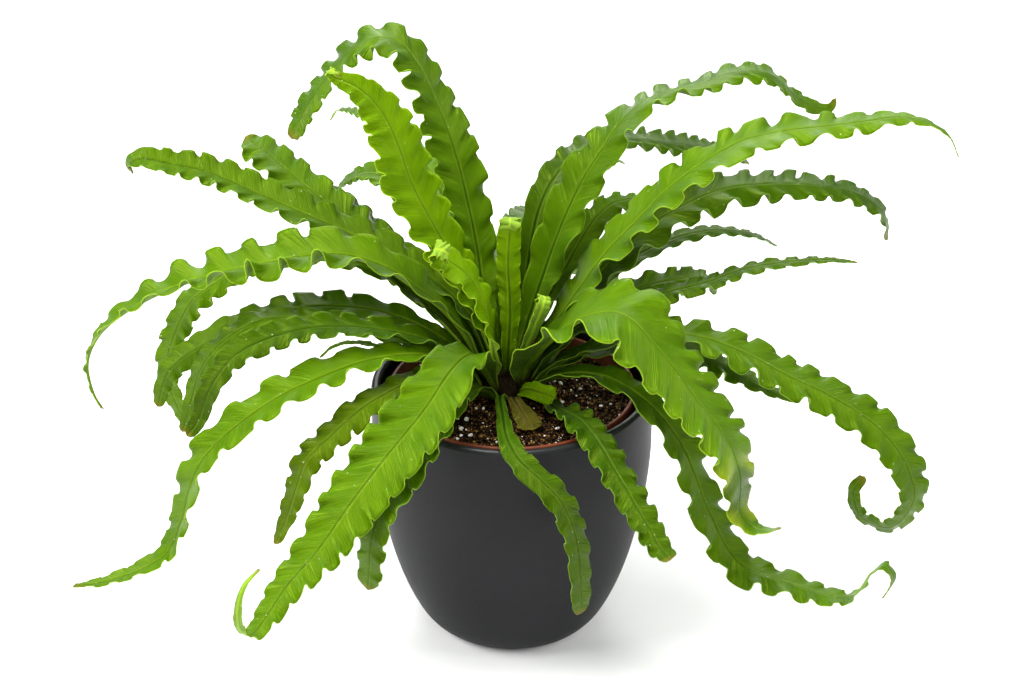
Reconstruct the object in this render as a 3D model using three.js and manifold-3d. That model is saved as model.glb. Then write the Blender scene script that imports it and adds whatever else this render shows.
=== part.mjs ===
// A Victoria bird's nest fern in its nursery pot, stood in a dark ceramic cachepot.
// Millimetres, +Z up. The origin is the middle of the cachepot's flat underside.
import * as THREE from "three";
import { mergeVertices } from "three/addons/utils/BufferGeometryUtils.js";
import Module from "manifold-3d";

// Driving dimensions
const TOUCH = 0.3; // clearance between pieces that rest on each other
const POT = { height: 144, wall: 5, floor: 7, lip: 2.4, sides: 48 };
const NURSERY = { rim: 66, foot: 37, wall: 1.6, step: 3, draft: 0.6, collar: 15.3, belowLip: 2.7, sides: 40 };
const DRAIN = { count: 6, radius: 4, ring: 26 };
const SOIL = { belowRim: 7.3, mound: 4, reach: 60, crumb: 0.7, rings: 9, sides: 40 };
const PERLITE = { grains: 26, radius: 1.5, proud: 0.2 };
const CROWN = { x: -3, y: 4, radius: 14, rise: 12, equator: 3, depth: 14, sides: 24 };
const BLADE = { thick: 1, gap: 0.85, foot: 2, rise: 1.6, slant: 0.58, lobe: -0.06, bend: 32 };
const WAVE = { uneven: 0.14, from: 0.04, over: 0.22, swell: 0.25 };
const GUTTER = { deep: 0.5, open: 0.55 };

// The cachepot's flank, as pairs of radius and height from its foot to below its lip
const POT_FLANK = [
  [40.5, 0], [46, 4], [51, 10], [56.2, 20], [62, 35], [67.5, 55], [72.2, 80], [74.8, 105], [75, 125],
];

// Heights and radii that the pieces share
const NURSERY_FLOOR = POT.floor + TOUCH;
const NURSERY_TOP = POT.height - NURSERY.belowLip;
const SHOULDER = NURSERY_TOP - NURSERY.collar;
const BELOW_SHOULDER = NURSERY.rim - NURSERY.step;
const COLLAR_INSIDE = NURSERY.rim - NURSERY.wall - 2 * NURSERY.draft;
const SOIL_TOP = NURSERY_TOP - SOIL.belowRim;

// The latitude of each whorl of frond feet on the crown, degrees above its equator
const WHORL = [74, 58, 45, 33, 22, 12];

// Leaf finishes: colour and roughness
const TONES = {
  bright: { color: 0x6fa61a, roughness: 0.42 },
  mid: { color: 0x55901a, roughness: 0.42 },
  dark: { color: 0x33661a, roughness: 0.45 },
  young: { color: 0x9bc722, roughness: 0.4 },
  olive: { color: 0x62801a, roughness: 0.45 },
  dry: { color: 0x8a7a3a, roughness: 0.7 },
};

// The fronds, from the back of the rosette round to the front. heading is the way a frond grows,
// in degrees from +X towards +Y. foot is its whorl and the place of its foot round the crown.
// half is the half width in mm where the blade is widest, at the share peak of its length. tail
// shapes the taper after that, and end is the half width at the tip. pleat is the length of one
// wave of the margin and ruffle its height as a share of the half width. roll turns the blade
// about its rib, in degrees, at even steps from foot to tip. route is a list of reach, height
// above the soil and, where the frond leaves its heading, swing, in mm. curl rolls the tip up
// in a coil: its radius and its turns.
// The blade starts as a gutter. Where they aren't the usual, open says how far it lies open again,
// and rise how late it widens.
const FRONDS = [
  {
    name: "frond_back_1", heading: 110, foot: [0, 100], tone: "mid",
    half: 13, peak: 0.45, tail: 0.35, end: 1.5, pleat: 16, ruffle: 0.3, roll: [0, 0, 10, 40, 45, 15],
    route: [
      [10, 42, 8], [18, 74, 9], [25, 102, 12], [33, 132, 17], [42, 157, 24], [48, 175, 31],
      [53, 186, 39], [58, 188, 49], [63, 181, 62], [66, 166, 75], [68, 149, 87], [69, 134, 94],
    ],
  },
  {
    name: "frond_back_2", heading: 165, foot: [0, 172], tone: "young",
    half: 14.5, peak: 0.6, tail: 1.5, end: 1.8, pleat: 16, ruffle: 0.3, roll: [0, -20, -40, -40],
    curl: [3.6, 0.75],
    route: [
      [11, 42, 6], [18, 66, 10], [31, 101, 20], [42, 130, 27], [47, 151, 31], [53, 168, 34],
      [60, 180, 38], [67, 187, 42], [75, 191, 45],
    ],
  },
  {
    name: "frond_back_3", heading: 78, foot: [1, 88], tone: "dark",
    half: 10, peak: 0.5, tail: 0.8, end: 1.2, pleat: 19, ruffle: 0.3, roll: [0, 0, 0],
    route: [
      [10, 34, 3], [21, 57, 4], [41, 72, 5], [66, 73, 5], [102, 63, 5], [138, 46, 4], [169, 27, 3],
      [192, 2, 1],
    ],
  },
  {
    name: "frond_back_4", heading: 114, foot: [1, 122], tone: "mid",
    half: 7.5, peak: 0.4, tail: 1.1, end: 0.8, pleat: 16, ruffle: 0.3, roll: [0, -10, -20],
    route: [
      [14, 30], [27, 45], [62, 69], [107, 88], [157, 92], [204, 84], [231, 77], [254, 68], [266, 57],
    ],
  },
  {
    name: "frond_back_5", heading: 132, foot: [2, 128], tone: "mid",
    half: 9, peak: 0.6, tail: 0.8, end: 1.2, pleat: 15, ruffle: 0.3, open: 0.15,
    roll: [0, -10, -10, -40],
    route: [[19, 29], [41, 57], [61, 79], [88, 91], [108, 93], [124, 86], [141, 74]],
  },
  {
    name: "frond_back_6", heading: 96, foot: [4, 96], tone: "dark",
    half: 11, peak: 0.5, tail: 0.8, end: 1, pleat: 20, ruffle: 0.3, roll: [0, 0, 0],
    route: [[30, 24], [60, 38], [92, 40], [120, 28], [142, 6], [154, -22], [160, -50]],
  },
  {
    name: "frond_back_7", heading: 68, foot: [4, 72], tone: "mid",
    half: 12, peak: 0.5, tail: 0.8, end: 1, pleat: 20, ruffle: 0.3, roll: [0, 0, 0],
    route: [[30, 22], [62, 33], [96, 34], [128, 22], [152, -2], [166, -34], [172, -62]],
  },
  {
    name: "frond_right_1", heading: 35, foot: [0, 28], tone: "mid",
    half: 13, peak: 0.36, tail: 0.7, end: 1, pleat: 20, ruffle: 0.28, roll: [0, 20, 10, -20, -5, 35, 60],
    route: [
      [9, 24], [15, 41], [22, 59], [34, 87], [49, 113], [62, 128], [71, 138], [86, 147], [104, 150],
      [126, 149], [150, 150], [175, 143], [197, 124], [212, 115], [221, 113], [225, 118],
    ],
  },
  {
    name: "frond_right_2", heading: 55, foot: [1, 55], tone: "dark",
    half: 10, peak: 0.5, tail: 0.7, end: 1.5, pleat: 18, ruffle: 0.3, roll: [0, 20, 15, 35, 40],
    route: [
      [13, 27, 2], [22, 53, 3], [30, 80, 4], [40, 97, 5], [56, 107, 6], [80, 112, 6], [100, 111, 5],
      [128, 103, 3], [157, 91, 1], [191, 77], [226, 61], [254, 44],
    ],
  },
  {
    name: "frond_right_3", heading: 40, foot: [2, 38], tone: "mid",
    half: 7.5, peak: 0.5, tail: 0.8, end: 1.2, pleat: 17, ruffle: 0.34, roll: [0, 20, 10],
    route: [[20, 39], [34, 54], [48, 71], [60, 84], [72, 90], [82, 90], [102, 84], [117, 73]],
  },
  {
    name: "frond_right_4", heading: 62, foot: [3, 66], tone: "dark",
    half: 5, peak: 0.5, tail: 0.9, end: 1.6, pleat: 15, ruffle: 0.3, roll: [0, 10, 0],
    route: [[19, 20], [33, 38], [50, 60], [70, 78], [92, 87], [114, 88], [131, 86], [141, 80]],
  },
  {
    name: "frond_right_5", heading: 4, foot: [2, 5], tone: "bright",
    half: 14, peak: 0.36, tail: 0.95, end: 0.7, pleat: 21, ruffle: 0.28, roll: [0, 15, 12, 10, 0],
    route: [
      [16, 26], [27, 43], [37, 59], [52, 82], [67, 99], [82, 116], [100, 131], [120, 143], [141, 148],
      [162, 150], [182, 152], [202, 154], [218, 150], [228, 143], [234, 131],
    ],
  },
  {
    name: "frond_right_6", heading: 22, foot: [3, 20], tone: "dark",
    half: 12.5, peak: 0.35, tail: 0.65, end: 3.2, pleat: 19, ruffle: 0.32, roll: [0, 15, 15, 40],
    route: [
      [20, 24], [34, 38], [53, 60], [75, 81], [99, 93], [122, 99], [150, 98], [184, 91], [209, 81],
      [225, 67], [229, 51],
    ],
  },
  {
    name: "frond_right_7", heading: 38, foot: [4, 40], tone: "dark",
    half: 6, peak: 0.4, tail: 0.8, end: 2.5, pleat: 17, ruffle: 0.22, roll: [0, 15, 10],
    route: [
      [25, 17], [39, 32], [62, 48], [80, 54], [99, 57], [120, 58], [144, 55], [163, 49], [181, 41],
      [197, 30],
    ],
  },
  {
    name: "frond_right_8", heading: 12, foot: [4, 17], tone: "mid",
    half: 9, peak: 0.6, tail: 0.45, end: 3, pleat: 15, ruffle: 0.36, roll: [0, 15, 20],
    route: [[21, 16], [32, 30], [47, 45], [72, 56], [92, 59], [104, 59], [111, 56], [115, 49]],
  },
  {
    name: "frond_right_9", heading: 355, foot: [3, 357], tone: "dark",
    half: 7, peak: 0.4, tail: 0.9, end: 0.7, pleat: 15, ruffle: 0.34, roll: [0, 10, 10],
    route: [
      [20, 22], [33, 36], [50, 49], [68, 58], [85, 65], [106, 72], [124, 80], [147, 85], [167, 87],
      [181, 86],
    ],
  },
  {
    name: "frond_left_1", heading: 182, foot: [2, 188], tone: "bright",
    half: 13.5, peak: 0.4, tail: 1.2, end: 0.8, pleat: 22, ruffle: 0.42, open: 0.1,
    roll: [0, -5, -6, -3, 0],
    route: [
      [14, 22], [21, 36], [31, 50], [44, 62], [62, 76], [84, 84], [106, 83.5], [128, 79], [151, 74],
      [175, 66], [200, 52], [214, 39], [221, 23], [219, 4], [215, -5],
    ],
  },
  {
    name: "frond_left_2", heading: 163, foot: [1, 160], tone: "mid",
    half: 11, peak: 0.45, tail: 0.6, end: 3, pleat: 17, ruffle: 0.3, open: 0.15, roll: [0, -8, -20, -35],
    route: [
      [15, 33], [29, 51, -2], [58, 70, -2], [92, 84, -1], [109, 90], [134, 98], [158, 106], [172, 109],
      [188, 110], [202, 111], [211, 108], [210, 102],
    ],
  },
  {
    name: "frond_left_3", heading: 150, foot: [2, 153], tone: "mid",
    half: 12.5, peak: 0.6, tail: 0.5, end: 10.5, pleat: 18, ruffle: 0.3, roll: [0, -10, -15, -10],
    route: [[22, 28], [42, 46], [66, 65], [84, 74], [103, 82], [126, 94], [147, 106], [164, 114.5]],
  },
  {
    name: "frond_left_4", heading: 138, foot: [3, 136], tone: "dark",
    half: 11, peak: 0.6, tail: 0.7, end: 1.5, pleat: 17, ruffle: 0.3, roll: [0, -10, -10],
    route: [[24, 21], [48, 35], [69, 47], [89, 59], [108, 68], [128, 77], [149, 80]],
  },
  {
    name: "frond_left_5", heading: 170, foot: [3, 168], tone: "bright",
    half: 8.5, peak: 0.5, tail: 0.45, end: 4, pleat: 17, ruffle: 0.32,
    roll: [0, -10, -15, -40, -75, -80],
    route: [
      [20, 25], [35, 42], [49, 55], [64, 66], [89, 74], [111, 74], [132, 69], [146, 62], [158, 53],
      [171, 42], [182, 22], [189, -3], [184, -26], [174, -42],
    ],
  },
  {
    name: "frond_left_6", heading: 174, foot: [4, 173], tone: "mid",
    half: 10, peak: 0.5, tail: 0.45, end: 3.5, pleat: 18, ruffle: 0.32, roll: [0, -15, -15, -45, -75],
    route: [
      [19, 17], [30, 28], [47, 39], [67, 46], [86, 48], [105, 47], [122, 42], [139, 35, 1],
      [162, 23, 3], [182, 7, 5], [190, -15, 7],
    ],
  },
  {
    name: "frond_left_7", heading: 187, foot: [5, 184], tone: "mid",
    half: 7.5, peak: 0.45, tail: 0.5, end: 3.4, pleat: 17, ruffle: 0.3, roll: [0, -15, -15, -40, -75],
    route: [
      [21, 12], [32, 21, 1], [48, 34, 3], [67, 44, 4], [87, 51, 4], [108, 54, 3], [127, 53], [147, 43],
      [160, 28], [167, 8], [173, -11],
    ],
  },
  {
    name: "frond_left_8", heading: 203, foot: [4, 203], tone: "dark",
    half: 8, peak: 0.45, tail: 0.5, end: 3.8, pleat: 17, ruffle: 0.3, open: 0.35,
    roll: [0, -15, -15, -30, -55],
    route: [
      [21, 20], [33, 33], [49, 44], [70, 53], [89, 59], [109, 62], [133, 60], [149, 54], [162, 39],
      [170, 21], [176, 14],
    ],
  },
  {
    name: "frond_left_9", heading: 212, foot: [5, 214], tone: "bright",
    half: 10.8, peak: 0.45, tail: 0.7, end: 1, pleat: 22, ruffle: 0.28, open: 0.3,
    roll: [0, -5, -5, 0, 0],
    route: [
      [21, 17], [32, 29], [48, 37], [67, 42], [88, 44], [111, 42], [134, 38], [153, 31], [168, 23],
      [180, 13], [186, 1], [192, -15, 1], [201, -31, 1], [215, -36, 1], [239, -37], [252, -34],
    ],
  },
  {
    name: "frond_left_10", heading: 222, foot: [5, 233], tone: "olive",
    half: 8.6, peak: 0.5, tail: 0.6, end: 1.5, pleat: 16, ruffle: 0.32, roll: [0, -15, -10],
    route: [
      [26, 16], [43, 26], [60, 31.5], [74, 31.5], [96, 29], [119, 20], [134, 12], [142, -2], [149, -17],
      [156, -28],
    ],
  },
  {
    name: "frond_front_1", heading: 238, foot: [3, 246], tone: "bright",
    half: 16.5, peak: 0.32, tail: 1.4, end: 0.7, pleat: 17, ruffle: 0.28, roll: [0, -10, -10, 0, 0],
    route: [
      [16, 18], [25, 31], [37, 41, 1], [56, 41, 2], [82, 31, 3], [118, 20, 3], [148, 8, 2],
      [172, -4, 1], [198, -12, 0], [216, -19, 1], [226, -22, 1], [234, -15, 1], [235, -2, 1],
      [230, 7, 1], [218, 10, 1],
    ],
  },
  {
    name: "frond_front_2", heading: 243, foot: [5, 252], tone: "mid",
    half: 9, peak: 0.5, tail: 0.35, end: 5, pleat: 17, ruffle: 0.3, roll: [0, 0, 10],
    route: [
      [20, 12], [33, 20], [58, 24], [80, 20], [101, 12], [121, 4], [135, 1], [144, -9], [150, -36],
    ],
  },
  {
    name: "frond_front_3", heading: 280, foot: [5, 268], tone: "dark",
    half: 7, peak: 0.62, tail: 0.5, end: 4.2, pleat: 19, ruffle: 0.24, rise: 2.4, roll: [0, 0, 10, 10],
    route: [
      [27, 14, -8], [53, 16, -11], [78, 18, -13], [96, 16, -10], [108, 10, -1], [114, 0, 8],
      [118, -21, 15], [121, -51, 17], [121, -62, 17],
    ],
  },
  {
    name: "frond_front_4", heading: 298, foot: [5, 314], tone: "dark",
    half: 8.5, peak: 0.45, tail: 0.4, end: 3, pleat: 15, ruffle: 0.4, roll: [0, 5, 10],
    route: [
      [21, 7, 8], [33, 7, 9], [43, 9, 9], [54, 13, 8], [71, 17, 6], [90, 15, 5], [110, 8, 4],
      [126, 1, 4], [141, -6, 4], [154, -12, 4], [163, -13, 4],
    ],
  },
  {
    name: "frond_front_5", heading: 328, foot: [5, 336], tone: "mid",
    half: 10.5, peak: 0.5, tail: 0.9, end: 1.2, pleat: 20, ruffle: 0.32, rise: 0.7,
    roll: [0, 10, 10, 0, 0],
    route: [
      [21, 14, 1], [36, 22, 1], [55, 27, 1], [72, 25, 1], [89, 17, 1], [106, -1, 2], [122, -33, 2],
      [141, -59, 2], [172, -62, 2], [205, -58, 2], [215, -40, 2], [222, -33, 2], [227, -40, 2],
      [222, -53, 2],
    ],
  },
  {
    name: "frond_front_6", heading: 322, foot: [2, 316], tone: "bright",
    half: 24, peak: 0.34, tail: 1.3, end: 0.8, pleat: 19, ruffle: 0.17, roll: [0, 10, 0, 0, 0],
    route: [
      [12, 20], [18, 29], [29, 43, 1], [52, 63, 1], [73, 70, 2], [98, 56, 2], [120, 37, 2],
      [141, 19, 1], [148, 2, 1], [150, -17], [161, -23], [174, -17],
    ],
  },
  {
    name: "frond_front_7", heading: 343, foot: [4, 341], tone: "mid",
    half: 12.5, peak: 0.42, tail: 1, end: 2.6, pleat: 17, ruffle: 0.28, roll: [0, 10, 15, 40, 70],
    route: [
      [20, 17], [33, 27], [53, 38], [79, 46.5, 3], [102, 49, 3], [127, 44, 2], [152, 35], [176, 26],
      [201, 11], [216, -9], [220, -27], [209, -45], [194, -41], [189, -27], [194, -17],
    ],
  },
  {
    name: "frond_front_8", heading: 348, foot: [5, 353], tone: "mid",
    half: 9, peak: 0.5, tail: 0.7, end: 1.5, pleat: 16, ruffle: 0.32, roll: [0, 15, 10],
    route: [[22, 14.8], [33, 23.6], [50, 33], [71, 38.5], [94, 38], [115, 31], [138, 20], [156, 14]],
  },
  {
    name: "frond_young_1", heading: 90, foot: [0, 280], tone: "young",
    half: 6.6, peak: 0.6, tail: 0.25, end: 4.5, pleat: 12, ruffle: 0.14, roll: [0, 0, 0],
    curl: [3.4, 0.9],
    route: [[-6, 28, -1], [-6, 52, -2], [-5, 80, -1], [-3, 103, -2]],
  },
  {
    name: "frond_young_2", heading: 200, foot: [1, 216], tone: "young",
    half: 10, peak: 0.36, tail: 1.1, end: 4.2, pleat: 17, ruffle: 0.2, roll: [0, -30, -60],
    curl: [4.6, 0.9],
    route: [
      [8, 22, 5], [11, 40, 8], [15, 56, 11], [20, 71, 13], [26, 82, 14], [35, 91, 15], [43, 98, 16],
    ],
  },
  {
    name: "frond_young_3", heading: 320, foot: [1, 330], tone: "young",
    half: 3.8, peak: 0.5, tail: 0.4, end: 3.6, pleat: 12, ruffle: 0.14, roll: [0, -25, -50],
    curl: [4, 0.9],
    route: [[12, 26, -1], [17, 39, -2], [22, 52, -2], [26, 61, -2]],
  },
  {
    name: "frond_short_1", heading: 0, foot: [4, 302], tone: "young",
    half: 4.9, peak: 0.5, tail: 0.25, end: 4.2, pleat: 14, ruffle: 0.14, roll: [0, 10, 10],
    route: [[11, 13, -18], [18, 15, -25], [26, 14, -29]],
  },
  {
    name: "frond_dry_1", heading: 286, foot: [5, 289], tone: "dry",
    half: 6.5, peak: 0.9, tail: 0.5, end: 6, pleat: 11, ruffle: 0.08, roll: [0, 0],
    route: [[18, 7, -1], [30, 7, -1], [40, 6], [49, 5]],
  },
  {
    name: "frond_short_2", heading: 200, foot: [5, 199], tone: "mid",
    half: 3, peak: 0.4, tail: 1, end: 0.8, pleat: 12, ruffle: 0.2, roll: [0, 0],
    route: [[22, 15], [36, 24, 3], [52, 33, 3], [70, 42], [86, 47], [95, 46], [102, 41]],
  },
];

// The library's solids join and cut closed meshes.
const wasm = await Module();
wasm.setup();

function solid(geometry) {
  const bare = geometry.index ? geometry.toNonIndexed() : geometry.clone();
  bare.deleteAttribute("normal");
  bare.deleteAttribute("uv");
  const merged = mergeVertices(bare, 1e-4);
  return new wasm.Manifold(
    new wasm.Mesh({
      numProp: 3,
      vertProperties: merged.attributes.position.array,
      triVerts: new Uint32Array(merged.index.array),
    }),
  );
}

function geometryOf(body) {
  const { vertProperties, triVerts } = body.getMesh();
  const geometry = new THREE.BufferGeometry();
  geometry.setAttribute("position", new THREE.BufferAttribute(new Float32Array(vertProperties), 3));
  geometry.setIndex(new THREE.BufferAttribute(new Uint32Array(triVerts), 1));
  geometry.computeVertexNormals();
  return geometry;
}

function named(name, geometry, color, roughness) {
  const mesh = new THREE.Mesh(
    geometry,
    new THREE.MeshStandardMaterial({ color, roughness, metalness: 0, side: THREE.DoubleSide }),
  );
  mesh.name = name;
  return mesh;
}

// A solid of revolution about Z from pairs of radius and height.
function turned(outline, sides) {
  const points = outline.map(([radius, z]) => new THREE.Vector2(radius, z));
  return new THREE.LatheGeometry(points, sides).rotateX(Math.PI / 2);
}

// A smooth run of outline points through pairs of radius and height.
function smoothRun(pairs, steps) {
  const curve = new THREE.SplineCurve(pairs.map(([radius, z]) => new THREE.Vector2(radius, z)));
  return curve.getPoints(steps).map((point) => [point.x, point.y]);
}

// The seeded draw that scatters the soil's grains.
function draws(seed) {
  let state = seed;
  return () => {
    state = (state * 1664525 + 1013904223) % 4294967296;
    return state / 4294967296;
  };
}

// The cachepot: an egg-like ceramic bowl with a rounded lip, its wall thicker towards the foot
function cachepot() {
  const { height, wall, floor, lip, sides } = POT;
  const [footRadius] = POT_FLANK[0];
  const [belly] = POT_FLANK.at(-1);
  const bowl = POT_FLANK.slice(3).map(([radius, z]) => [radius - wall * (1.3 - (0.3 * z) / height), z]);
  const corner = [[footRadius - 1.5, floor], [footRadius + 4, floor + 4]];
  const inside = smoothRun([...corner, ...bowl], 8).reverse();
  const roundLip = [
    [belly, height - lip],
    [belly - 0.7, height - 0.7],
    [belly - lip, height],
    [belly - lip - 1.4, height - 0.7],
    [belly - wall, height - lip],
  ];
  const outline = [[0, 0], ...smoothRun(POT_FLANK, 11), ...roundLip, ...inside, [0, floor]];
  return named("cachepot", turned(outline, sides), 0x363639, 0.5);
}

// The nursery pot: a thin tapered shell with a deeper collar and drain holes
function nurseryPot() {
  const { rim, foot, wall, draft } = NURSERY;
  const low = NURSERY_FLOOR;
  const outline = [
    [0, low],
    [foot, low],
    [BELOW_SHOULDER, SHOULDER],
    [rim - draft, SHOULDER],
    [rim, NURSERY_TOP - 1],
    [rim - draft, NURSERY_TOP],
    [rim - draft - wall, NURSERY_TOP],
    [COLLAR_INSIDE, SHOULDER + wall],
    [BELOW_SHOULDER - wall, SHOULDER],
    [foot - wall, low + wall],
    [0, low + wall],
  ];
  let shell = solid(turned(outline, NURSERY.sides));
  for (let i = 0; i < DRAIN.count; i++) {
    const angle = (i / DRAIN.count) * 2 * Math.PI;
    const drill = new THREE.CylinderGeometry(DRAIN.radius, DRAIN.radius, 4 * wall, 16)
      .rotateX(Math.PI / 2)
      .translate(DRAIN.ring * Math.cos(angle), DRAIN.ring * Math.sin(angle), low + wall / 2);
    shell = shell.subtract(solid(drill));
  }
  return named("nursery_pot", geometryOf(shell), 0x8a3f22, 0.6);
}

// The height of the soil over its edge level, mounded to the crown
function moundAt(reach) {
  return SOIL.mound * Math.max(0, 1 - (reach / SOIL.reach) ** 2);
}

// The soil: fills the nursery pot, crumbly on top, with a plain hole for the crown
function soil() {
  const { foot, wall } = NURSERY;
  const edge = COLLAR_INSIDE - 3 * TOUCH;
  const hole = CROWN.radius + TOUCH;
  const holeFloor = SOIL_TOP - CROWN.depth - TOUCH;
  const low = NURSERY_FLOOR + wall + TOUCH;
  const rows = [
    [0, () => low],
    [foot - wall - 2 * TOUCH, () => low],
    [BELOW_SHOULDER - wall - 2 * TOUCH, () => SHOULDER],
    [edge, () => SHOULDER + wall + 1],
    [edge, () => SOIL_TOP - 1.2],
  ];
  const firstCrumbs = rows.length;
  for (let i = 0; i < SOIL.rings; i++) {
    rows.push([edge - 1 + ((hole - edge + 1) * i) / (SOIL.rings - 1), crumbs]);
  }
  rows.push([hole, () => holeFloor]);
  rows.push([0, () => holeFloor]);

  function crumbs(x, y, radius) {
    const calm = radius < hole + 1 || radius > edge - 2 ? 0.3 : 1;
    const lumps = Math.sin(0.61 * x + 1.3 * Math.sin(0.37 * y));
    const wave = lumps * Math.sin(0.53 * y - 1.1 * Math.sin(0.29 * x));
    return SOIL_TOP + moundAt(radius) + calm * SOIL.crumb * wave;
  }

  const flat = turned(rows.map(([radius, height]) => [radius, height(radius, 0, radius)]), SOIL.sides);
  const position = flat.attributes.position;
  rows.forEach(([radius, height], row) => {
    const shift = row < firstCrumbs ? 0 : Math.min(1, (edge - radius) / (edge - hole));
    for (let i = row; i < position.count; i += rows.length) {
      const x = position.getX(i) + shift * CROWN.x;
      const y = position.getY(i) + shift * CROWN.y;
      position.setXYZ(i, x, y, height(x, y, radius));
    }
  });

  // Each grain of perlite is fused to the soil on a corner of its crumbly top.
  const draw = draws(7);
  let body = solid(flat);
  for (let i = 0; i < PERLITE.grains; i++) {
    const ring = firstCrumbs + 1 + Math.floor(draw() * (SOIL.rings - 3));
    const corner = ring + rows.length * Math.floor(draw() * SOIL.sides);
    const size = PERLITE.radius * (0.6 + 0.5 * draw());
    const grain = new THREE.OctahedronGeometry(size, 0)
      .rotateX(3 * draw())
      .rotateZ(3 * draw())
      .translate(
        position.getX(corner),
        position.getY(corner),
        position.getZ(corner) + PERLITE.proud * size,
      );
    body = body.add(solid(grain));
  }
  return named("soil", geometryOf(body), 0x2b2018, 0.95);
}

// The crown: the short upright stock that carries the fronds, set in its hole in the soil
function crown() {
  const { radius, rise, equator, depth, sides } = CROWN;
  const outline = [[0, -depth], [radius - 3, -depth], [radius, 4 - depth], [radius, equator]];
  for (let i = 1; i < 7; i++) {
    const latitude = (i / 7) * (Math.PI / 2);
    outline.push([radius * Math.cos(latitude), equator + rise * Math.sin(latitude)]);
  }
  outline.push([0, equator + rise]);
  return named("crown", turned(outline, sides), 0x2a2014, 0.9);
}

// The place of a frond's foot, just off the crown, in the frond's own upright plane.
function footOf({ heading, foot: [whorl, around] }) {
  const latitude = THREE.MathUtils.degToRad(WHORL[whorl]);
  const off = THREE.MathUtils.degToRad(around - heading);
  const out = (CROWN.radius + BLADE.gap) * Math.cos(latitude);
  const up = CROWN.equator + (CROWN.rise + BLADE.gap) * Math.sin(latitude);
  return new THREE.Vector3(out * Math.cos(off), out * Math.sin(off), up);
}

// The points of a coiled tip: a shrinking spiral that bends towards the blade's upper face.
function coil(points, [radius, turns], roll) {
  const last = points.at(-1);
  const ahead = last.clone().sub(points.at(-2)).setY(0).normalize();
  const face = THREE.MathUtils.degToRad(roll);
  const inward = new THREE.Vector3(-ahead.z, 0, ahead.x).multiplyScalar(Math.cos(face));
  inward.y = -Math.sin(face);
  const centre = last.clone().addScaledVector(inward, radius);
  const steps = Math.round(turns * 8);
  return Array.from({ length: steps }, (_, i) => {
    const angle = ((i + 1) / 8) * 2 * Math.PI;
    const reach = radius * (1 - (0.5 * (i + 1)) / 8);
    return centre
      .clone()
      .addScaledVector(ahead, reach * Math.sin(angle))
      .addScaledVector(inward, -reach * Math.cos(angle));
  });
}

// A value at the share t of a list whose entries stand at even steps.
function along(list, t) {
  const at = Math.min(Math.max(t, 0), 1) * (list.length - 1);
  const i = Math.min(Math.floor(at), list.length - 2);
  const f = at - i;
  return list[i] + (list[i + 1] - list[i]) * f * f * (3 - 2 * f);
}

// The rib of a frond: its point, direction, side and up at any length from the foot.
function ribOf(frond) {
  const route = frond.route.map(([reach, height, swing = 0]) => new THREE.Vector3(reach, swing, height));
  const points = [footOf(frond), ...route];
  if (frond.curl) points.push(...coil(points, frond.curl, frond.roll.at(-1)));
  const curve = new THREE.CatmullRomCurve3(points, false, "centripetal");
  curve.arcLengthDivisions = 60 * points.length;
  const length = curve.getLength();
  const steps = Math.ceil(length);
  const sides = [new THREE.Vector3(0, 1, 0)];
  for (let i = 0; i <= steps; i++) {
    const ahead = curve.getTangentAt(i / steps);
    const side = sides.at(-1).clone();
    sides.push(side.addScaledVector(ahead, -side.dot(ahead)).normalize());
  }
  return {
    length,
    at(s) {
      const t = Math.min(s / length, 1);
      const point = curve.getPointAt(t);
      const ahead = curve.getTangentAt(t);
      const i = Math.min(Math.floor(t * steps), steps - 1);
      const level = sides[i + 1].clone().lerp(sides[i + 2], t * steps - i);
      level.addScaledVector(ahead, -level.dot(ahead)).normalize();
      const over = new THREE.Vector3().crossVectors(ahead, level);
      const roll = THREE.MathUtils.degToRad(along(frond.roll, t));
      const side = level.clone().multiplyScalar(Math.cos(roll)).addScaledVector(over, Math.sin(roll));
      const up = new THREE.Vector3().crossVectors(ahead, side);
      return { point, ahead, side, up };
    },
  };
}

// The half width of a blade at the share t of its length.
function halfWidth({ half, peak, tail, end, rise = BLADE.rise }, t) {
  const foot = Math.min(BLADE.foot, half / 2);
  if (t < peak) return foot + (half - foot) * Math.sin((Math.PI / 2) * (t / peak)) ** rise;
  return end + (half - end) * Math.cos((Math.PI / 2) * ((t - peak) / (1 - peak))) ** tail;
}

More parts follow.
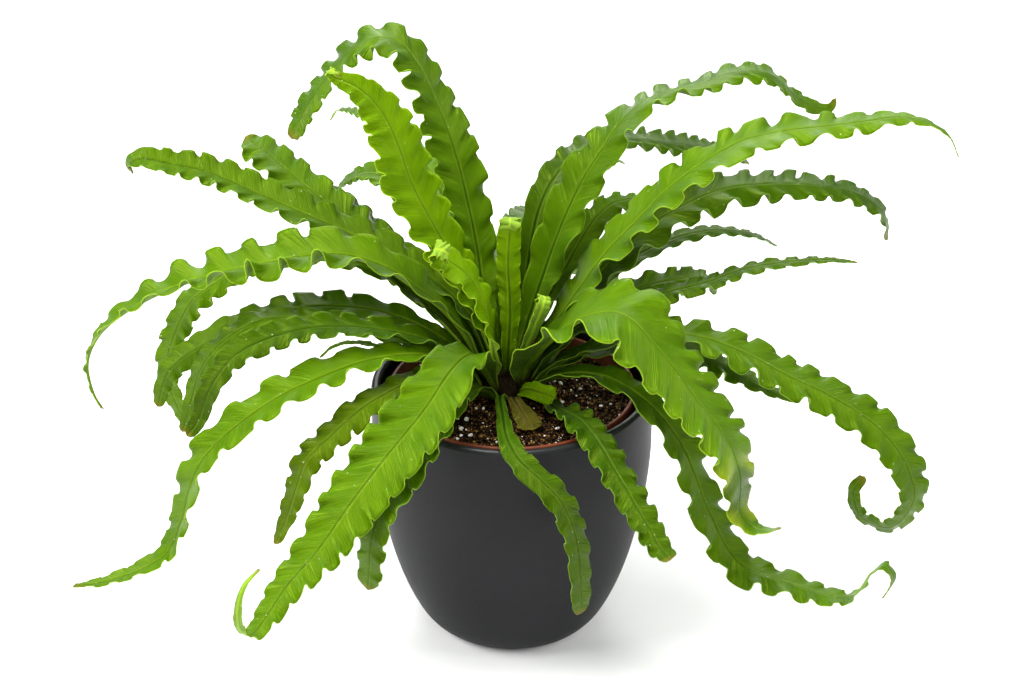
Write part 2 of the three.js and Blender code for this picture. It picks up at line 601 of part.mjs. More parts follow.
// A frond: a thin strap with a rib and two waved margins, each pleat running out and forward.
// Its upper and lower faces are split into triangles alike.
function frondMesh(frond, index) {
  const rib = ribOf(frond);
  const { length } = rib;
  const waves = Math.max(4, Math.round((2 * length) / frond.pleat));
  const drift = 2.4 * index;
  // The length along the rib at the share x of the waves: they shorten towards the tip.
  const spacing = (x) => {
    const uneven = WAVE.uneven * frond.pleat * Math.sin(9 * x + drift);
    return length * x * (1.3 - 0.3 * x) + uneven * 4 * x * (1 - x);
  };

  const stations = [0];
  for (let k = 0; k < waves; k++) {
    const from = rib.at(spacing(k / waves)).ahead;
    const to = rib.at(spacing((k + 1) / waves)).ahead;
    const middle = rib.at(spacing((k + 0.5) / waves)).ahead;
    const turn = THREE.MathUtils.radToDeg(from.angleTo(middle) + middle.angleTo(to));
    const parts = Math.max(1, Math.ceil(turn / BLADE.bend));
    for (let part = 1; part <= parts; part++) stations.push((k + part / parts) / waves);
  }

  const top = [];
  const bottom = [];
  for (const x of stations) {
    const s = spacing(x);
    const t = s / length;
    for (const across of [-1, 0, 1]) {
      const wide = halfWidth(frond, t);
      const lead = BLADE.slant * wide * Math.abs(across) * (1 - t ** 4) * Math.min(1, 4 * t);
      const { point, side, up } = rib.at(Math.min(s + lead, length));
      const beat = Math.cos(Math.PI * waves * x) * (across > 0 && index % 2 ? -1 : 1);
      const ramp = Math.min(1, Math.max(0, (t - WAVE.from) / WAVE.over));
      const swell = 1 + WAVE.swell * Math.sin(11 * x + 1.7 * drift + across);
      const gutter = GUTTER.deep * Math.min(1, 12 * t) - (frond.open ?? GUTTER.open) * Math.min(1, 2.2 * t);
      const lift = Math.abs(across) * wide * (gutter + frond.ruffle * ramp * swell * beat);
      const reach = across * wide * (1 + BLADE.lobe * ramp * beat);
      const middle = point.clone().addScaledVector(side, reach).addScaledVector(up, lift);
      top.push(middle.clone().addScaledVector(up, BLADE.thick / 2));
      bottom.push(middle.clone().addScaledVector(up, -BLADE.thick / 2));
    }
  }

  const rows = stations.length;
  const under = top.length;
  const faces = [];
  const quad = (a, b, c, d) => faces.push(a, b, c, a, c, d);
  for (let i = 0; i < rows - 1; i++) {
    const a = 3 * i;
    const b = a + 3;
    quad(a, b, b + 1, a + 1);
    quad(a + 1, b + 1, b + 2, a + 2);
    for (const c of [under + a, under + a + 1]) faces.push(c, c + 4, c + 3, c, c + 1, c + 4);
    quad(a, under + a, under + b, b);
    quad(a + 2, b + 2, under + b + 2, under + a + 2);
  }
  const z = 3 * (rows - 1);
  quad(0, 1, under + 1, under);
  quad(1, 2, under + 2, under + 1);
  quad(z, under + z, under + z + 1, z + 1);
  quad(z + 1, under + z + 1, under + z + 2, z + 2);

  const flat = [...top, ...bottom].flatMap((v) => [v.x, v.y, v.z]);
  const geometry = new THREE.BufferGeometry();
  geometry.setAttribute("position", new THREE.Float32BufferAttribute(flat, 3));
  geometry.setIndex(faces);
  geometry.computeVertexNormals();
  const { color, roughness } = TONES[frond.tone];
  const mesh = named(frond.name, geometry, color, roughness);
  mesh.rotation.z = THREE.MathUtils.degToRad(frond.heading);
  return mesh;
}

// The rosette stands on the soil, a little off the pot's middle, as the crown does.
const rosette = new THREE.Group();
rosette.position.set(CROWN.x, CROWN.y, SOIL_TOP);
rosette.add(crown());
FRONDS.forEach((frond, index) => rosette.add(frondMesh(frond, index)));

const fern = new THREE.Group();
fern.add(cachepot(), nurseryPot(), soil(), rosette);

export default fern;
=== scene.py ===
import math
import random

import bmesh
import bpy
import numpy as np
from mathutils import Matrix, Vector, noise


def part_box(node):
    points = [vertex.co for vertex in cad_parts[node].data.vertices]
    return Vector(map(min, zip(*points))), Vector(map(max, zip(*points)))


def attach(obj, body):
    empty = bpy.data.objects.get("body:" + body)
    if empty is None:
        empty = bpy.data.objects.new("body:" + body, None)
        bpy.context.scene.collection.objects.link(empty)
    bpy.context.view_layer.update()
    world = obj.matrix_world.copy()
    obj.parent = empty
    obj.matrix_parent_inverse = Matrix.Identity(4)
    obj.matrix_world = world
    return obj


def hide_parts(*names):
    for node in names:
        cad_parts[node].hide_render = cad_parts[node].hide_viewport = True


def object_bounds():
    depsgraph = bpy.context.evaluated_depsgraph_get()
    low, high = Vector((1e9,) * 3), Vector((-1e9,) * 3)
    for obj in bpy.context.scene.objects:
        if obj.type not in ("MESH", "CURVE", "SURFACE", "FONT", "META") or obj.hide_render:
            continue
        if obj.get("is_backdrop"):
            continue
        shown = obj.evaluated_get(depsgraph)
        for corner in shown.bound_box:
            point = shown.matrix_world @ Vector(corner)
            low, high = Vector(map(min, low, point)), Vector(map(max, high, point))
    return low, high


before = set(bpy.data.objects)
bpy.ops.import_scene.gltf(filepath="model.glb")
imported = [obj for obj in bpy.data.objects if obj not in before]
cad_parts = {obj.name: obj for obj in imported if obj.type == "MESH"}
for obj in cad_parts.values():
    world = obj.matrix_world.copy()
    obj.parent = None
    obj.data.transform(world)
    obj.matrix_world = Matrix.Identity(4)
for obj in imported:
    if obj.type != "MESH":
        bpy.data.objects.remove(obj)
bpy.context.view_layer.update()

# A Victoria bird's nest fern in its nursery pot, stood in a dark ceramic cachepot.
# Metres in the scene, millimetres in each section's own sizes, +Z up, +Y away from the camera.
MM = 0.001

# The photograph's view
# A long lens at 1.36 m, a little above the plant. Its axis meets the ground plane behind the pot.
LENS = 85  # mm
SENSOR = 36  # mm wide
CAMERA_PLACE = (0, -1127 * MM, 763.6 * MM)
CAMERA_DROP = 27.9  # degrees below the horizon

camera = bpy.data.objects.new("camera", bpy.data.cameras.new("camera"))
camera.data.lens = LENS
camera.data.sensor_width = SENSOR
camera.data.sensor_fit = "HORIZONTAL"
camera.data.clip_start = 50 * MM
camera.location = CAMERA_PLACE
camera.rotation_euler = (math.radians(90 - CAMERA_DROP), 0, 0)
bpy.context.collection.objects.link(camera)
bpy.context.scene.camera = camera
bpy.context.scene.view_settings.view_transform = "Standard"

# The studio
# White paper on the floor and five round softboxes: the key high on the left, a fill on the right,
# one above for the leaves' broad pale sheen, one behind for their edges and a weak one in front.
AIM = (0, 0, 0.15)  # m, the middle of the plant
AIM_HIGH = (0, 0, 0.2)
ROOM_LIGHT = 0.22  # the white room's own glow
PAPER_GLOW = 0.05  # keeps the paper white out to its corners
PAPER_HALF = 4  # m


def linear(hex_colour):
    """A colour written as sRGB hex, as linear red, green, blue and alpha."""
    shares = [int(hex_colour[i : i + 2], 16) / 255 for i in (1, 3, 5)]
    return [s / 12.92 if s <= 0.04045 else ((s + 0.055) / 1.055) ** 2.4 for s in shares] + [1]


def softbox(name, place, aim, size, watts):
    """A round softbox. Its place, its aim and its width are in metres."""
    light = bpy.data.objects.new(name, bpy.data.lights.new(name, "AREA"))
    light.data.shape = "DISK"
    light.data.size = size
    light.data.energy = watts
    light.location = place
    light.rotation_euler = (Vector(aim) - Vector(place)).to_track_quat("-Z", "Y").to_euler()
    bpy.context.collection.objects.link(light)


def new_material(name):
    """A material with its node tree and its shader."""
    material = bpy.data.materials.new(name)
    material.use_nodes = True
    tree = material.node_tree
    return material, tree, tree.nodes["Principled BSDF"]


def new_piece(name, bm, materials):
    """The piece that a bmesh holds, smooth, in metres, at the origin."""
    mesh = bpy.data.meshes.new(name)
    bm.to_mesh(mesh)
    bm.free()
    mesh.polygons.foreach_set("use_smooth", [True] * len(mesh.polygons))
    for material in materials:
        mesh.materials.append(material)
    piece = bpy.data.objects.new(name, mesh)
    bpy.context.collection.objects.link(piece)
    return piece


softbox("left softbox", (-1.3, -0.4, 1.1), AIM, 0.9, 33)
softbox("right softbox", (1.3, -0.3, 1.0), AIM, 0.9, 19)
softbox("top softbox", (-0.2, 0.1, 1.6), AIM, 0.9, 36)
softbox("back softbox", (0, 1.7, 1.2), AIM_HIGH, 1.2, 22)
softbox("front softbox", (0.1, -1.7, 1.5), AIM_HIGH, 1.2, 12)

world = bpy.data.worlds.new("studio")
bpy.context.scene.world = world
world.use_nodes = True
world.node_tree.nodes["Background"].inputs["Color"].default_value = linear("#ffffff")
world.node_tree.nodes["Background"].inputs["Strength"].default_value = ROOM_LIGHT

paper, tree, shader = new_material("matte white paper")
shader.inputs["Base Color"].default_value = linear("#f4f4f4")
shader.inputs["Roughness"].default_value = 0.9
shader.inputs["Emission Color"].default_value = linear("#ffffff")
shader.inputs["Emission Strength"].default_value = PAPER_GLOW
floor_bm = bmesh.new()
bmesh.ops.create_grid(floor_bm, x_segments=4, y_segments=4, size=PAPER_HALF)
floor = new_piece("floor", floor_bm, [paper])
floor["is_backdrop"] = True

# The cachepot
# One piece of slip-cast stoneware, egg-like, with a rounded lip and a low foot ring. It is
# dipped in a matte charcoal glaze, which lies smoother and a little glossier on the lip.
pot_low, pot_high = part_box("cachepot")
POT_HEIGHT = pot_high.z / MM
POT_RADIUS = pot_high.x / MM
POT_WALL = 5
POT_THICKER = 0.3  # the share that the wall gains towards the foot
POT_FLOOR = 7
POT_LIP = 2.4
FOOT_RECESS = 0.8
FOOT_INSIDE = 35
FOOT_OUTSIDE = 40.2
POT_FLANK = [
    (40.5, 0), (46, 4), (51, 10), (56.2, 20), (62, 35), (67.5, 55), (72.2, 80), (74.8, 105), (75, 125),
]
POT_HOLLOW = [(39, POT_FLOOR), (44.5, POT_FLOOR + 4)]  # the inside's foot, below the bowl
SPAN_STEPS = 6
POT_STEPS = 144


def smooth_run(points, per_span):
    """A centripetal Catmull-Rom curve through the points, as an array of close points."""
    knots = np.array(points, float)
    knots = np.vstack([2 * knots[0] - knots[1], knots, 2 * knots[-1] - knots[-2]])
    share = np.linspace(0, 1, per_span, endpoint=False)[:, None]
    spans = []
    for a, b, c, d in zip(knots, knots[1:], knots[2:], knots[3:]):
        ab, bc, cd = (max(np.linalg.norm(q - p), 1e-6) ** 0.5 for p, q in ((a, b), (b, c), (c, d)))
        start = bc * ((b - a) / ab - (c - a) / (ab + bc) + (c - b) / bc)
        stop = bc * ((c - b) / bc - (d - b) / (bc + cd) + (d - c) / cd)
        bend = 3 * (c - b) - 2 * start - stop
        twist = 2 * (b - c) + start + stop
        spans.append(b + share * (start + share * (bend + share * twist)))
    return np.vstack(spans + [knots[-2:-1]])


def turned(outline, steps):
    """A bmesh turned about Z from pairs of radius and height in mm, its faces outward."""
    bm = bmesh.new()
    line = [bm.verts.new((radius * MM, 0, z * MM)) for radius, z in outline]
    edges = [bm.edges.new(pair) for pair in zip(line, line[1:])]
    bmesh.ops.spin(
        bm, geom=line + edges, cent=(0, 0, 0), axis=(0, 0, 1), angle=2 * math.pi, steps=steps,
        use_merge=True,
    )
    bmesh.ops.remove_doubles(bm, verts=bm.verts, dist=0.01 * MM)
    bmesh.ops.recalc_face_normals(bm, faces=bm.faces)
    return bm


def add_node(tree, kind, inputs=None, **settings):
    """Adds a shader node, its inputs set or linked, and gives its outputs."""
    node = tree.nodes.new("ShaderNode" + kind)
    for setting, value in settings.items():
        setattr(node, setting, value)
    for socket, value in (inputs or {}).items():
        if isinstance(value, bpy.types.NodeSocket):
            tree.links.new(value, node.inputs[socket])
        else:
            node.inputs[socket].default_value = value
    return node.outputs


lip = [
    (POT_RADIUS - POT_WALL / 2 * (1 - math.cos(a)), POT_HEIGHT - POT_LIP + POT_LIP * math.sin(a))
    for a in np.linspace(0, math.pi, 13)
]
bowl = [(r - POT_WALL * (1 + POT_THICKER * (1 - z / POT_HEIGHT)), z) for r, z in POT_FLANK[3:]]
inside = smooth_run(POT_HOLLOW + bowl, SPAN_STEPS)[::-1]
foot_ring = [(0, FOOT_RECESS), (FOOT_INSIDE, FOOT_RECESS)]
foot_ring += [(FOOT_INSIDE + 0.8, 0.2), (FOOT_INSIDE + 1.6, 0), (FOOT_OUTSIDE, 0)]
pot_outline = foot_ring + [tuple(p) for p in smooth_run(POT_FLANK, SPAN_STEPS)[1:]] + lip
pot_outline += [tuple(p) for p in inside] + [(0, POT_FLOOR)]

# Matte charcoal glaze: a fine orange peel of about 1.5 mm, with faint clouds in its colour. Over the lip,
# from 3 mm below the top, it runs glossier and its colour turns a paler green-grey: thinner glaze
# with a painted green reflection.
glaze, tree, shader = new_material("matte charcoal glaze on stoneware")
place = add_node(tree, "TexCoord")["Object"]
cloud = add_node(tree, "TexNoise", {"Vector": place, "Scale": 1 / (40 * MM), "Detail": 3.0})
peel = add_node(tree, "TexNoise", {"Vector": place, "Scale": 1 / (1.5 * MM), "Detail": 2.0})
height = add_node(tree, "SeparateXYZ", {0: place})["Z"]
on_lip = add_node(
    tree, "MapRange", {0: height, 1: (POT_HEIGHT - 3) * MM, 2: (POT_HEIGHT - 1) * MM},
    interpolation_type="SMOOTHSTEP",
)[0]
body = add_node(
    tree, "Mix", {0: cloud["Fac"], 6: linear("#141416"), 7: linear("#19191c")}, data_type="RGBA"
)[2]
# Painted reflection: the paler green-grey on the lip is partly thinner glaze, partly reflected green.
colour = add_node(tree, "Mix", {0: on_lip, 6: body, 7: linear("#1f2120")}, data_type="RGBA")[2]
rough = add_node(tree, "MapRange", {0: on_lip, 3: 0.5, 4: 0.28})[0]
bump = add_node(tree, "Bump", {"Height": peel["Fac"], "Distance": 0.12 * MM, "Strength": 0.9})
tree.links.new(colour, shader.inputs["Base Color"])
tree.links.new(rough, shader.inputs["Roughness"])
tree.links.new(bump["Normal"], shader.inputs["Normal"])
shader.inputs["Specular IOR Level"].default_value = 0.14

cachepot = new_piece("cachepot_glazed", turned(pot_outline, POT_STEPS), [glaze])
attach(cachepot, "root")
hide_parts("cachepot")

# The nursery pot
# The thin pot that the fern was grown in, of terracotta-coloured polypropylene. It is injection
# moulded: a tapered wall under a deeper collar, with drain holes through its floor.
nursery_low, nursery_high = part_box("nursery_pot")
NURSERY_TOP = nursery_high.z / MM
NURSERY_FLOOR = nursery_low.z / MM
NURSERY_RIM = nursery_high.x / MM
NURSERY_FOOT = 37
NURSERY_WALL = 1.6
NURSERY_STEP = 3
NURSERY_DRAFT = 0.6
NURSERY_COLLAR = 15.3
NURSERY_ROUND = 0.4  # the small rounding of its edges
NURSERY_STEPS = 120
DRAIN_HOLES = 6
DRAIN_RADIUS = 4
DRAIN_RING = 26
shoulder = NURSERY_TOP - NURSERY_COLLAR
below_shoulder = NURSERY_RIM - NURSERY_STEP
collar_top = NURSERY_RIM - NURSERY_DRAFT
collar_inside = collar_top - NURSERY_WALL - NURSERY_DRAFT

nursery_outline = [
    (0, NURSERY_FLOOR),
    (NURSERY_FOOT - 1, NURSERY_FLOOR),
    (NURSERY_FOOT, NURSERY_FLOOR + 1),
    (below_shoulder, shoulder),
    (collar_top - NURSERY_ROUND, shoulder),
    (collar_top, shoulder + NURSERY_ROUND),
    (NURSERY_RIM, NURSERY_TOP - 1),
    (NURSERY_RIM - 0.2, NURSERY_TOP - 0.3),
    (collar_top, NURSERY_TOP),
    (collar_top - NURSERY_WALL + NURSERY_ROUND, NURSERY_TOP),
    (collar_top - NURSERY_WALL, NURSERY_TOP - NURSERY_ROUND),
    (collar_inside, shoulder + NURSERY_WALL),
    (below_shoulder - NURSERY_WALL, shoulder),
    (NURSERY_FOOT - NURSERY_WALL, NURSERY_FLOOR + NURSERY_WALL),
    (0, NURSERY_FLOOR + NURSERY_WALL),
]
nursery_bm = turned(nursery_outline, NURSERY_STEPS)

# Polypropylene: dull from the mould's etched wall, its colour a little uneven with dust.
plastic, tree, shader = new_material("moulded terracotta polypropylene")
place = add_node(tree, "TexCoord")["Object"]
dust = add_node(tree, "TexNoise", {"Vector": place, "Scale": 1 / (6 * MM), "Detail": 4.0})
etched = add_node(tree, "TexNoise", {"Vector": place, "Scale": 1 / (0.6 * MM)})
colour = add_node(
    tree, "Mix", {0: dust["Fac"], 6: linear("#70341c"), 7: linear("#542814")}, data_type="RGBA"
)[2]
bump = add_node(tree, "Bump", {"Height": etched["Fac"], "Distance": 0.03 * MM, "Strength": 0.5})
tree.links.new(colour, shader.inputs["Base Color"])
tree.links.new(bump["Normal"], shader.inputs["Normal"])
shader.inputs["Roughness"].default_value = 0.5
shader.inputs["Specular IOR Level"].default_value = 0.2

nursery_pot = new_piece("nursery_pot_moulded", nursery_bm, [plastic])
drill_bm = bmesh.new()
for i in range(DRAIN_HOLES):
    turn = Matrix.Rotation(2 * math.pi * i / DRAIN_HOLES, 4, "Z")
    centre = Matrix.Translation((DRAIN_RING * MM, 0, NURSERY_FLOOR * MM))
    bmesh.ops.create_cone(
        drill_bm, cap_ends=True, segments=24, radius1=DRAIN_RADIUS * MM, radius2=DRAIN_RADIUS * MM,
        depth=4 * NURSERY_WALL * MM, matrix=turn @ centre,
    )
drill = new_piece("drill", drill_bm, [])
cut = nursery_pot.modifiers.new("drain holes", "BOOLEAN")
cut.object = drill
cut.solver = "EXACT"
bored = nursery_pot.evaluated_get(bpy.context.evaluated_depsgraph_get())
drilled = bpy.data.meshes.new_from_object(bored)
nursery_pot.modifiers.clear()
nursery_pot.data = drilled
bpy.data.objects.remove(drill)
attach(nursery_pot, "root")
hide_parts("nursery_pot")

# The soil
# Potting mix of peat, fine bark and coir, watered and settled, a little mounded to the crown. Its
# crumbs of 1 to 3 mm are modelled: a lumpy bed, loose crumbs on it and white grains of perlite.
crown_low, crown_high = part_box("crown")
CROWN_X = (crown_low.x + crown_high.x) / 2 / MM
CROWN_Y = (crown_low.y + crown_high.y) / 2 / MM
CROWN_RADIUS = (crown_high.x - crown_low.x) / 2 / MM
TOUCH = 0.3
SOIL_BELOW_RIM = 7.3
SOIL_TOP = NURSERY_TOP - SOIL_BELOW_RIM
SOIL_MOUND = 4
SOIL_REACH = 60
SOIL_STEP = 0.7
SOIL_STEPS = 300  # round the bed
SOIL_EDGE = 1  # mm between the crumbled top and the bed's edge
HOLE_DEPTH = 14.3
LUMP_ACROSS = 9
LUMP_HIGH = 1.1
GRIT_ACROSS = 2.2
soil_edge = collar_inside - 3 * TOUCH
soil_hole = CROWN_RADIUS + TOUCH


def soil_height(x, y, crumbs):
    """The height in mm of the bed at a place: the mound, broad lumps and crumbs."""
    reach = math.hypot(x - CROWN_X, y - CROWN_Y)
    mound = SOIL_MOUND * max(0, 1 - (reach / SOIL_REACH) ** 2)
    lumps = noise.noise(Vector((x, y, 0)) / LUMP_ACROSS)
    grit = noise.fractal(Vector((x, y, 7)) / GRIT_ACROSS, 0.7, 2, 3)
    return SOIL_TOP + mound + crumbs * (LUMP_HIGH * lumps + grit)


low = NURSERY_FLOOR + NURSERY_WALL + TOUCH
top_edge = soil_edge - SOIL_EDGE
rings = int((top_edge - soil_hole) / SOIL_STEP)
soil_outline = [(0, low), (NURSERY_FOOT - NURSERY_WALL - 2 * TOUCH, low)]
soil_outline += [(below_shoulder - NURSERY_WALL - 2 * TOUCH, shoulder)]
soil_outline += [(soil_edge, shoulder + NURSERY_WALL + 1), (soil_edge, SOIL_TOP - 1.2)]
soil_outline += [(top_edge + (soil_hole - top_edge) * i / rings, SOIL_TOP) for i in range(rings + 1)]
soil_outline += [(soil_hole - 0.01, SOIL_TOP - HOLE_DEPTH), (0, SOIL_TOP - HOLE_DEPTH)]
soil_bm = turned(soil_outline, SOIL_STEPS)
# The crown stands off the pot's middle, so the hole moves with it, and the rings between shift less
# the nearer they are to the edge. Crumbs fade out at the edge and at the hole.
for vert in soil_bm.verts:
    radius = vert.co.xy.length / MM
    on_top = vert.co.z > (SOIL_TOP - 0.5) * MM
    if radius < soil_edge - 0.5 and on_top or radius <= soil_hole:
        shift = min(1, (soil_edge - radius) / (soil_edge - soil_hole))
        x = vert.co.x / MM + shift * CROWN_X
        y = vert.co.y / MM + shift * CROWN_Y
        loose = min(1, (soil_edge - radius) / 2, max(0.2, (radius - soil_hole) / 2))
        vert.co.x = x * MM
        vert.co.y = y * MM
        if on_top:
            vert.co.z = soil_height(x, y, loose) * MM

# Peat and bark, moist: dark grains about 1.3 mm across, with painted shade nearly black in the gaps
# between them, and browner to tan in patches where the mix has dried a little.
peat, tree, shader = new_material("moist peat and bark mix")
place = add_node(tree, "TexCoord")["Object"]
grains = add_node(tree, "TexVoronoi", {"Vector": place, "Scale": 1 / (1.3 * MM)})
grain_shade = add_node(tree, "SeparateColor", {0: grains["Color"]})[0]
patches = add_node(tree, "TexNoise", {"Vector": place, "Scale": 1 / (4 * MM), "Detail": 3.0})["Fac"]
both = add_node(tree, "Math", {0: grain_shade, 1: 0.4, 2: patches}, operation="MULTIPLY_ADD")[0]
both = add_node(tree, "Math", {0: both, 1: 1.5, 2: -0.55}, operation="MULTIPLY_ADD")[0]
browned = add_node(tree, "ValToRGB", {0: both})[0]
shades = browned.node.color_ramp.elements
for stop in (0.36, 0.56, 0.76):
    shades.new(stop)
for element, shade in zip(shades, ("#0c0704", "#20140a", "#4a3219", "#74522a", "#b8945a")):
    element.color = linear(shade)
# Painted shade: the gaps between the grains are darkened nearly to black.
painted_gap_shade = {0: grains["Distance"], 1: 0.4, 2: 0.65}
painted_gap_shade = add_node(tree, "MapRange", painted_gap_shade, interpolation_type="SMOOTHSTEP")[0]
colour = add_node(tree, "Mix", {0: painted_gap_shade, 6: browned, 7: linear("#0a0603")}, data_type="RGBA")[2]
domed = add_node(tree, "Math", {0: grains["Distance"], 1: -1.0}, operation="MULTIPLY")[0]
bump = add_node(tree, "Bump", {"Height": domed, "Distance": 0.7 * MM, "Strength": 0.9})
tree.links.new(colour, shader.inputs["Base Color"])
tree.links.new(bump["Normal"], shader.inputs["Normal"])
shader.inputs["Roughness"].default_value = 0.85
shader.inputs["Specular IOR Level"].default_value = 0.06

soil = new_piece("soil_bed", soil_bm, [peat])
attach(soil, "root")
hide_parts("soil")

JITTER = 0.16  # how rough a grain is, in radii
HOLE_CLEAR = 2  # mm kept free of grains round the crown
EDGE_CLEAR = 2.2


def scatter(bm, draw, count, smallest, largest, finer, flatness, raised):
    """Rough grains dropped on the bed. Sizes are radii in mm, flatness is the least height of a
    grain against its width, and raised how far its middle stands above the bed, in radii."""
    grain = bpy.data.meshes.new("grain")
    for _ in range(count):
        around = draw.uniform(0, 2 * math.pi)
        radius = math.sqrt(draw.uniform((soil_hole + HOLE_CLEAR) ** 2, (soil_edge - EDGE_CLEAR) ** 2))
        size = draw.uniform(smallest, largest) * draw.uniform(0.6, 1)
        x = radius * math.cos(around)
        y = radius * math.sin(around)
        if math.hypot(x - CROWN_X, y - CROWN_Y) < soil_hole + size:
            continue
        tilt = Matrix.Rotation(draw.uniform(0, 3), 4, (draw.random(), draw.random(), 0.2))
        long, wide, high = draw.uniform(0.7, 1.3), draw.uniform(0.7, 1), draw.uniform(flatness, 1)
        squash = Matrix.Diagonal((long, wide, high, 1))
        seat = Matrix.Translation(Vector((x, y, soil_height(x, y, 1) + size * raised)) * MM)
        ball = bmesh.new()
        pose = seat @ tilt @ squash
        bmesh.ops.create_icosphere(ball, subdivisions=finer, radius=size * MM, matrix=pose)
        for vert in ball.verts:
            vert.co += Vector([draw.uniform(-JITTER, JITTER) * size * MM for _ in range(3)])
        ball.to_mesh(grain)
        ball.free()
        bm.from_mesh(grain)
    bpy.data.meshes.remove(grain)


crumb_bm = bmesh.new()
scatter(crumb_bm, random.Random(11), 2600, smallest=0.4, largest=1.6, finer=1, flatness=0.4, raised=0.1)
crumbs = new_piece("soil_crumbs", crumb_bm, [peat])
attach(crumbs, "root")

# Perlite: expanded volcanic glass, chalk white and rough, stained a little by the peat.
perlite, tree, shader = new_material("expanded perlite")
place = add_node(tree, "TexCoord")["Object"]
stain = add_node(tree, "TexNoise", {"Vector": place, "Scale": 1 / (1.5 * MM), "Detail": 4.0})
colour = add_node(
    tree, "Mix", {0: stain["Fac"], 6: linear("#ffffff"), 7: linear("#f0ead8")}, data_type="RGBA"
)[2]
bump = add_node(tree, "Bump", {"Height": stain["Fac"], "Distance": 0.2 * MM, "Strength": 0.6})
tree.links.new(colour, shader.inputs["Base Color"])
tree.links.new(bump["Normal"], shader.inputs["Normal"])
shader.inputs["Roughness"].default_value = 0.9

perlite_bm = bmesh.new()
scatter(perlite_bm, random.Random(5), 90, smallest=0.75, largest=1.45, finer=2, flatness=0.7, raised=0.7)
scatter(perlite_bm, random.Random(6), 190, smallest=0.3, largest=0.7, finer=1, flatness=0.7, raised=0.9)
perlite_grains = new_piece("soil_perlite", perlite_bm, [perlite])
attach(perlite_grains, "root")

# The crown
# The fern's short upright rhizome, from which all fronds grow. It is dark and fibrous, wrapped in
# the bases of old fronds and in papery brown scales.
CROWN_RISE = 12
CROWN_EQUATOR = 3
CROWN_DEPTH = 14
CROWN_TAPER = (3, 4)  # its buried foot is this much slimmer, over this height
CROWN_STEPS = 72
KNOB_ACROSS = 5
KNOB_SHARE = 0.03
SCALES = 150
SCALE_HALF = (0.4, 0.8)
SCALE_LONG = (3, 6)
buried = SOIL_TOP - CROWN_DEPTH
equator = SOIL_TOP + CROWN_EQUATOR
crown_outline = [(0, buried), (CROWN_RADIUS - CROWN_TAPER[0], buried)]
crown_outline += [(CROWN_RADIUS, buried + CROWN_TAPER[1]), (CROWN_RADIUS, equator)]
for a in np.linspace(0, math.pi / 2, 15)[1:]:
    crown_outline.append((CROWN_RADIUS * math.cos(a), equator + CROWN_RISE * math.sin(a)))
crown_bm = turned(crown_outline, CROWN_STEPS)
for vert in crown_bm.verts:
    knobs = noise.fractal(vert.co / (KNOB_ACROSS * MM), 0.8, 2, 2)
    vert.co.xy *= 1 + KNOB_SHARE * min(0, knobs)
bmesh.ops.translate(crown_bm, verts=crown_bm.verts, vec=(CROWN_X * MM, CROWN_Y * MM, 0))
draw = random.Random(3)
for _ in range(SCALES):
    around = draw.uniform(0, 2 * math.pi)
    rise = draw.uniform(0.05, 1.2)
    out = Vector((math.cos(around) * math.cos(rise), math.sin(around) * math.cos(rise), math.sin(rise)))
    seat = Vector((CROWN_X, CROWN_Y, equator))
    seat += Vector((CROWN_RADIUS * out.x, CROWN_RADIUS * out.y, CROWN_RISE * out.z))
    lean = (out + Vector((0, 0, draw.uniform(0.2, 1)))).normalized()
    turn = lean.to_track_quat("Z", "Y").to_matrix().to_4x4()
    flat = Matrix.Diagonal((1, 0.3, 1, 1))
    bmesh.ops.create_cone(
        crown_bm, cap_ends=True, segments=4, radius1=draw.uniform(*SCALE_HALF) * MM, radius2=0.05 * MM,
        depth=draw.uniform(*SCALE_LONG) * MM, matrix=Matrix.Translation(seat * MM) @ turn @ flat,
    )

# Rhizome: matt brown-black fibre, a little paler on the strands, which are about 1.2 mm apart.
bark, tree, shader = new_material("fibrous rhizome with brown scales")
place = add_node(tree, "TexCoord")["Object"]
fibre = add_node(tree, "TexNoise", {"Vector": place, "Scale": 1 / (1.2 * MM), "Detail": 5.0})
colour = add_node(
    tree, "Mix", {0: fibre["Fac"], 6: linear("#080502"), 7: linear("#241a0c")}, data_type="RGBA"
)[2]
bump = add_node(tree, "Bump", {"Height": fibre["Fac"], "Distance": 0.5 * MM, "Strength": 0.9})
tree.links.new(colour, shader.inputs["Base Color"])
tree.links.new(bump["Normal"], shader.inputs["Normal"])
shader.inputs["Roughness"].default_value = 0.85
shader.inputs["Specular IOR Level"].default_value = 0.05

crown = new_piece("crown_fibrous", crown_bm, [bark])
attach(crown, "root")
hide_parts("crown")

# The fronds
# Each is one strap-shaped leaf on a short stalk, glossy with a waxy cuticle. Its rib is a groove
# between two low banks above and a keel below. Fine veins run out and forward to waved margins.
WHORL = (74, 58, 45, 33, 22, 12)  # latitude of each whorl of feet on the crown, degrees
BLADE_GAP = 0.85  # mm between the crown and a foot
BLADE_FOOT = 2  # mm, the half width at the foot
TIP_ROUND = 1.3  # length of the rounded tip, in its own half widths
TIP_LEAST = 2  # mm that it is long at least
TIP_BLUNT = 0.06  # share of the width left at its end
SUNK = 3  # mm of stalk inside the crown
LAMINA = 0.5  # mm, thickness at the margins
KEEL = 2.2  # mm, thickness at the rib near the foot
KEEL_HALF = 1.4  # mm
KEEL_FULL = 9  # mm, the half width that has a full keel
STALK = 6  # mm over which the stalk thins out
GUTTER_DEEP = 0.5  # in half widths
GROOVE_DEEP = 0.6  # mm, the groove along the rib
GROOVE_HALF = 0.5
BANK_HIGH = 0.3  # mm, the banks beside it
BANK_HALF = 0.6
BANK_OFF = 1.2
THINNER = 0.75  # share of groove and banks lost at the tip
BUSY = 1.15  # waves to a pleat
CROWDED = 0.3  # how much closer they come towards the tip
UNEVEN = 0.14  # how far they are shifted, in pleats
DRIFT = 2.4  # sets one frond's waves apart from the next one's
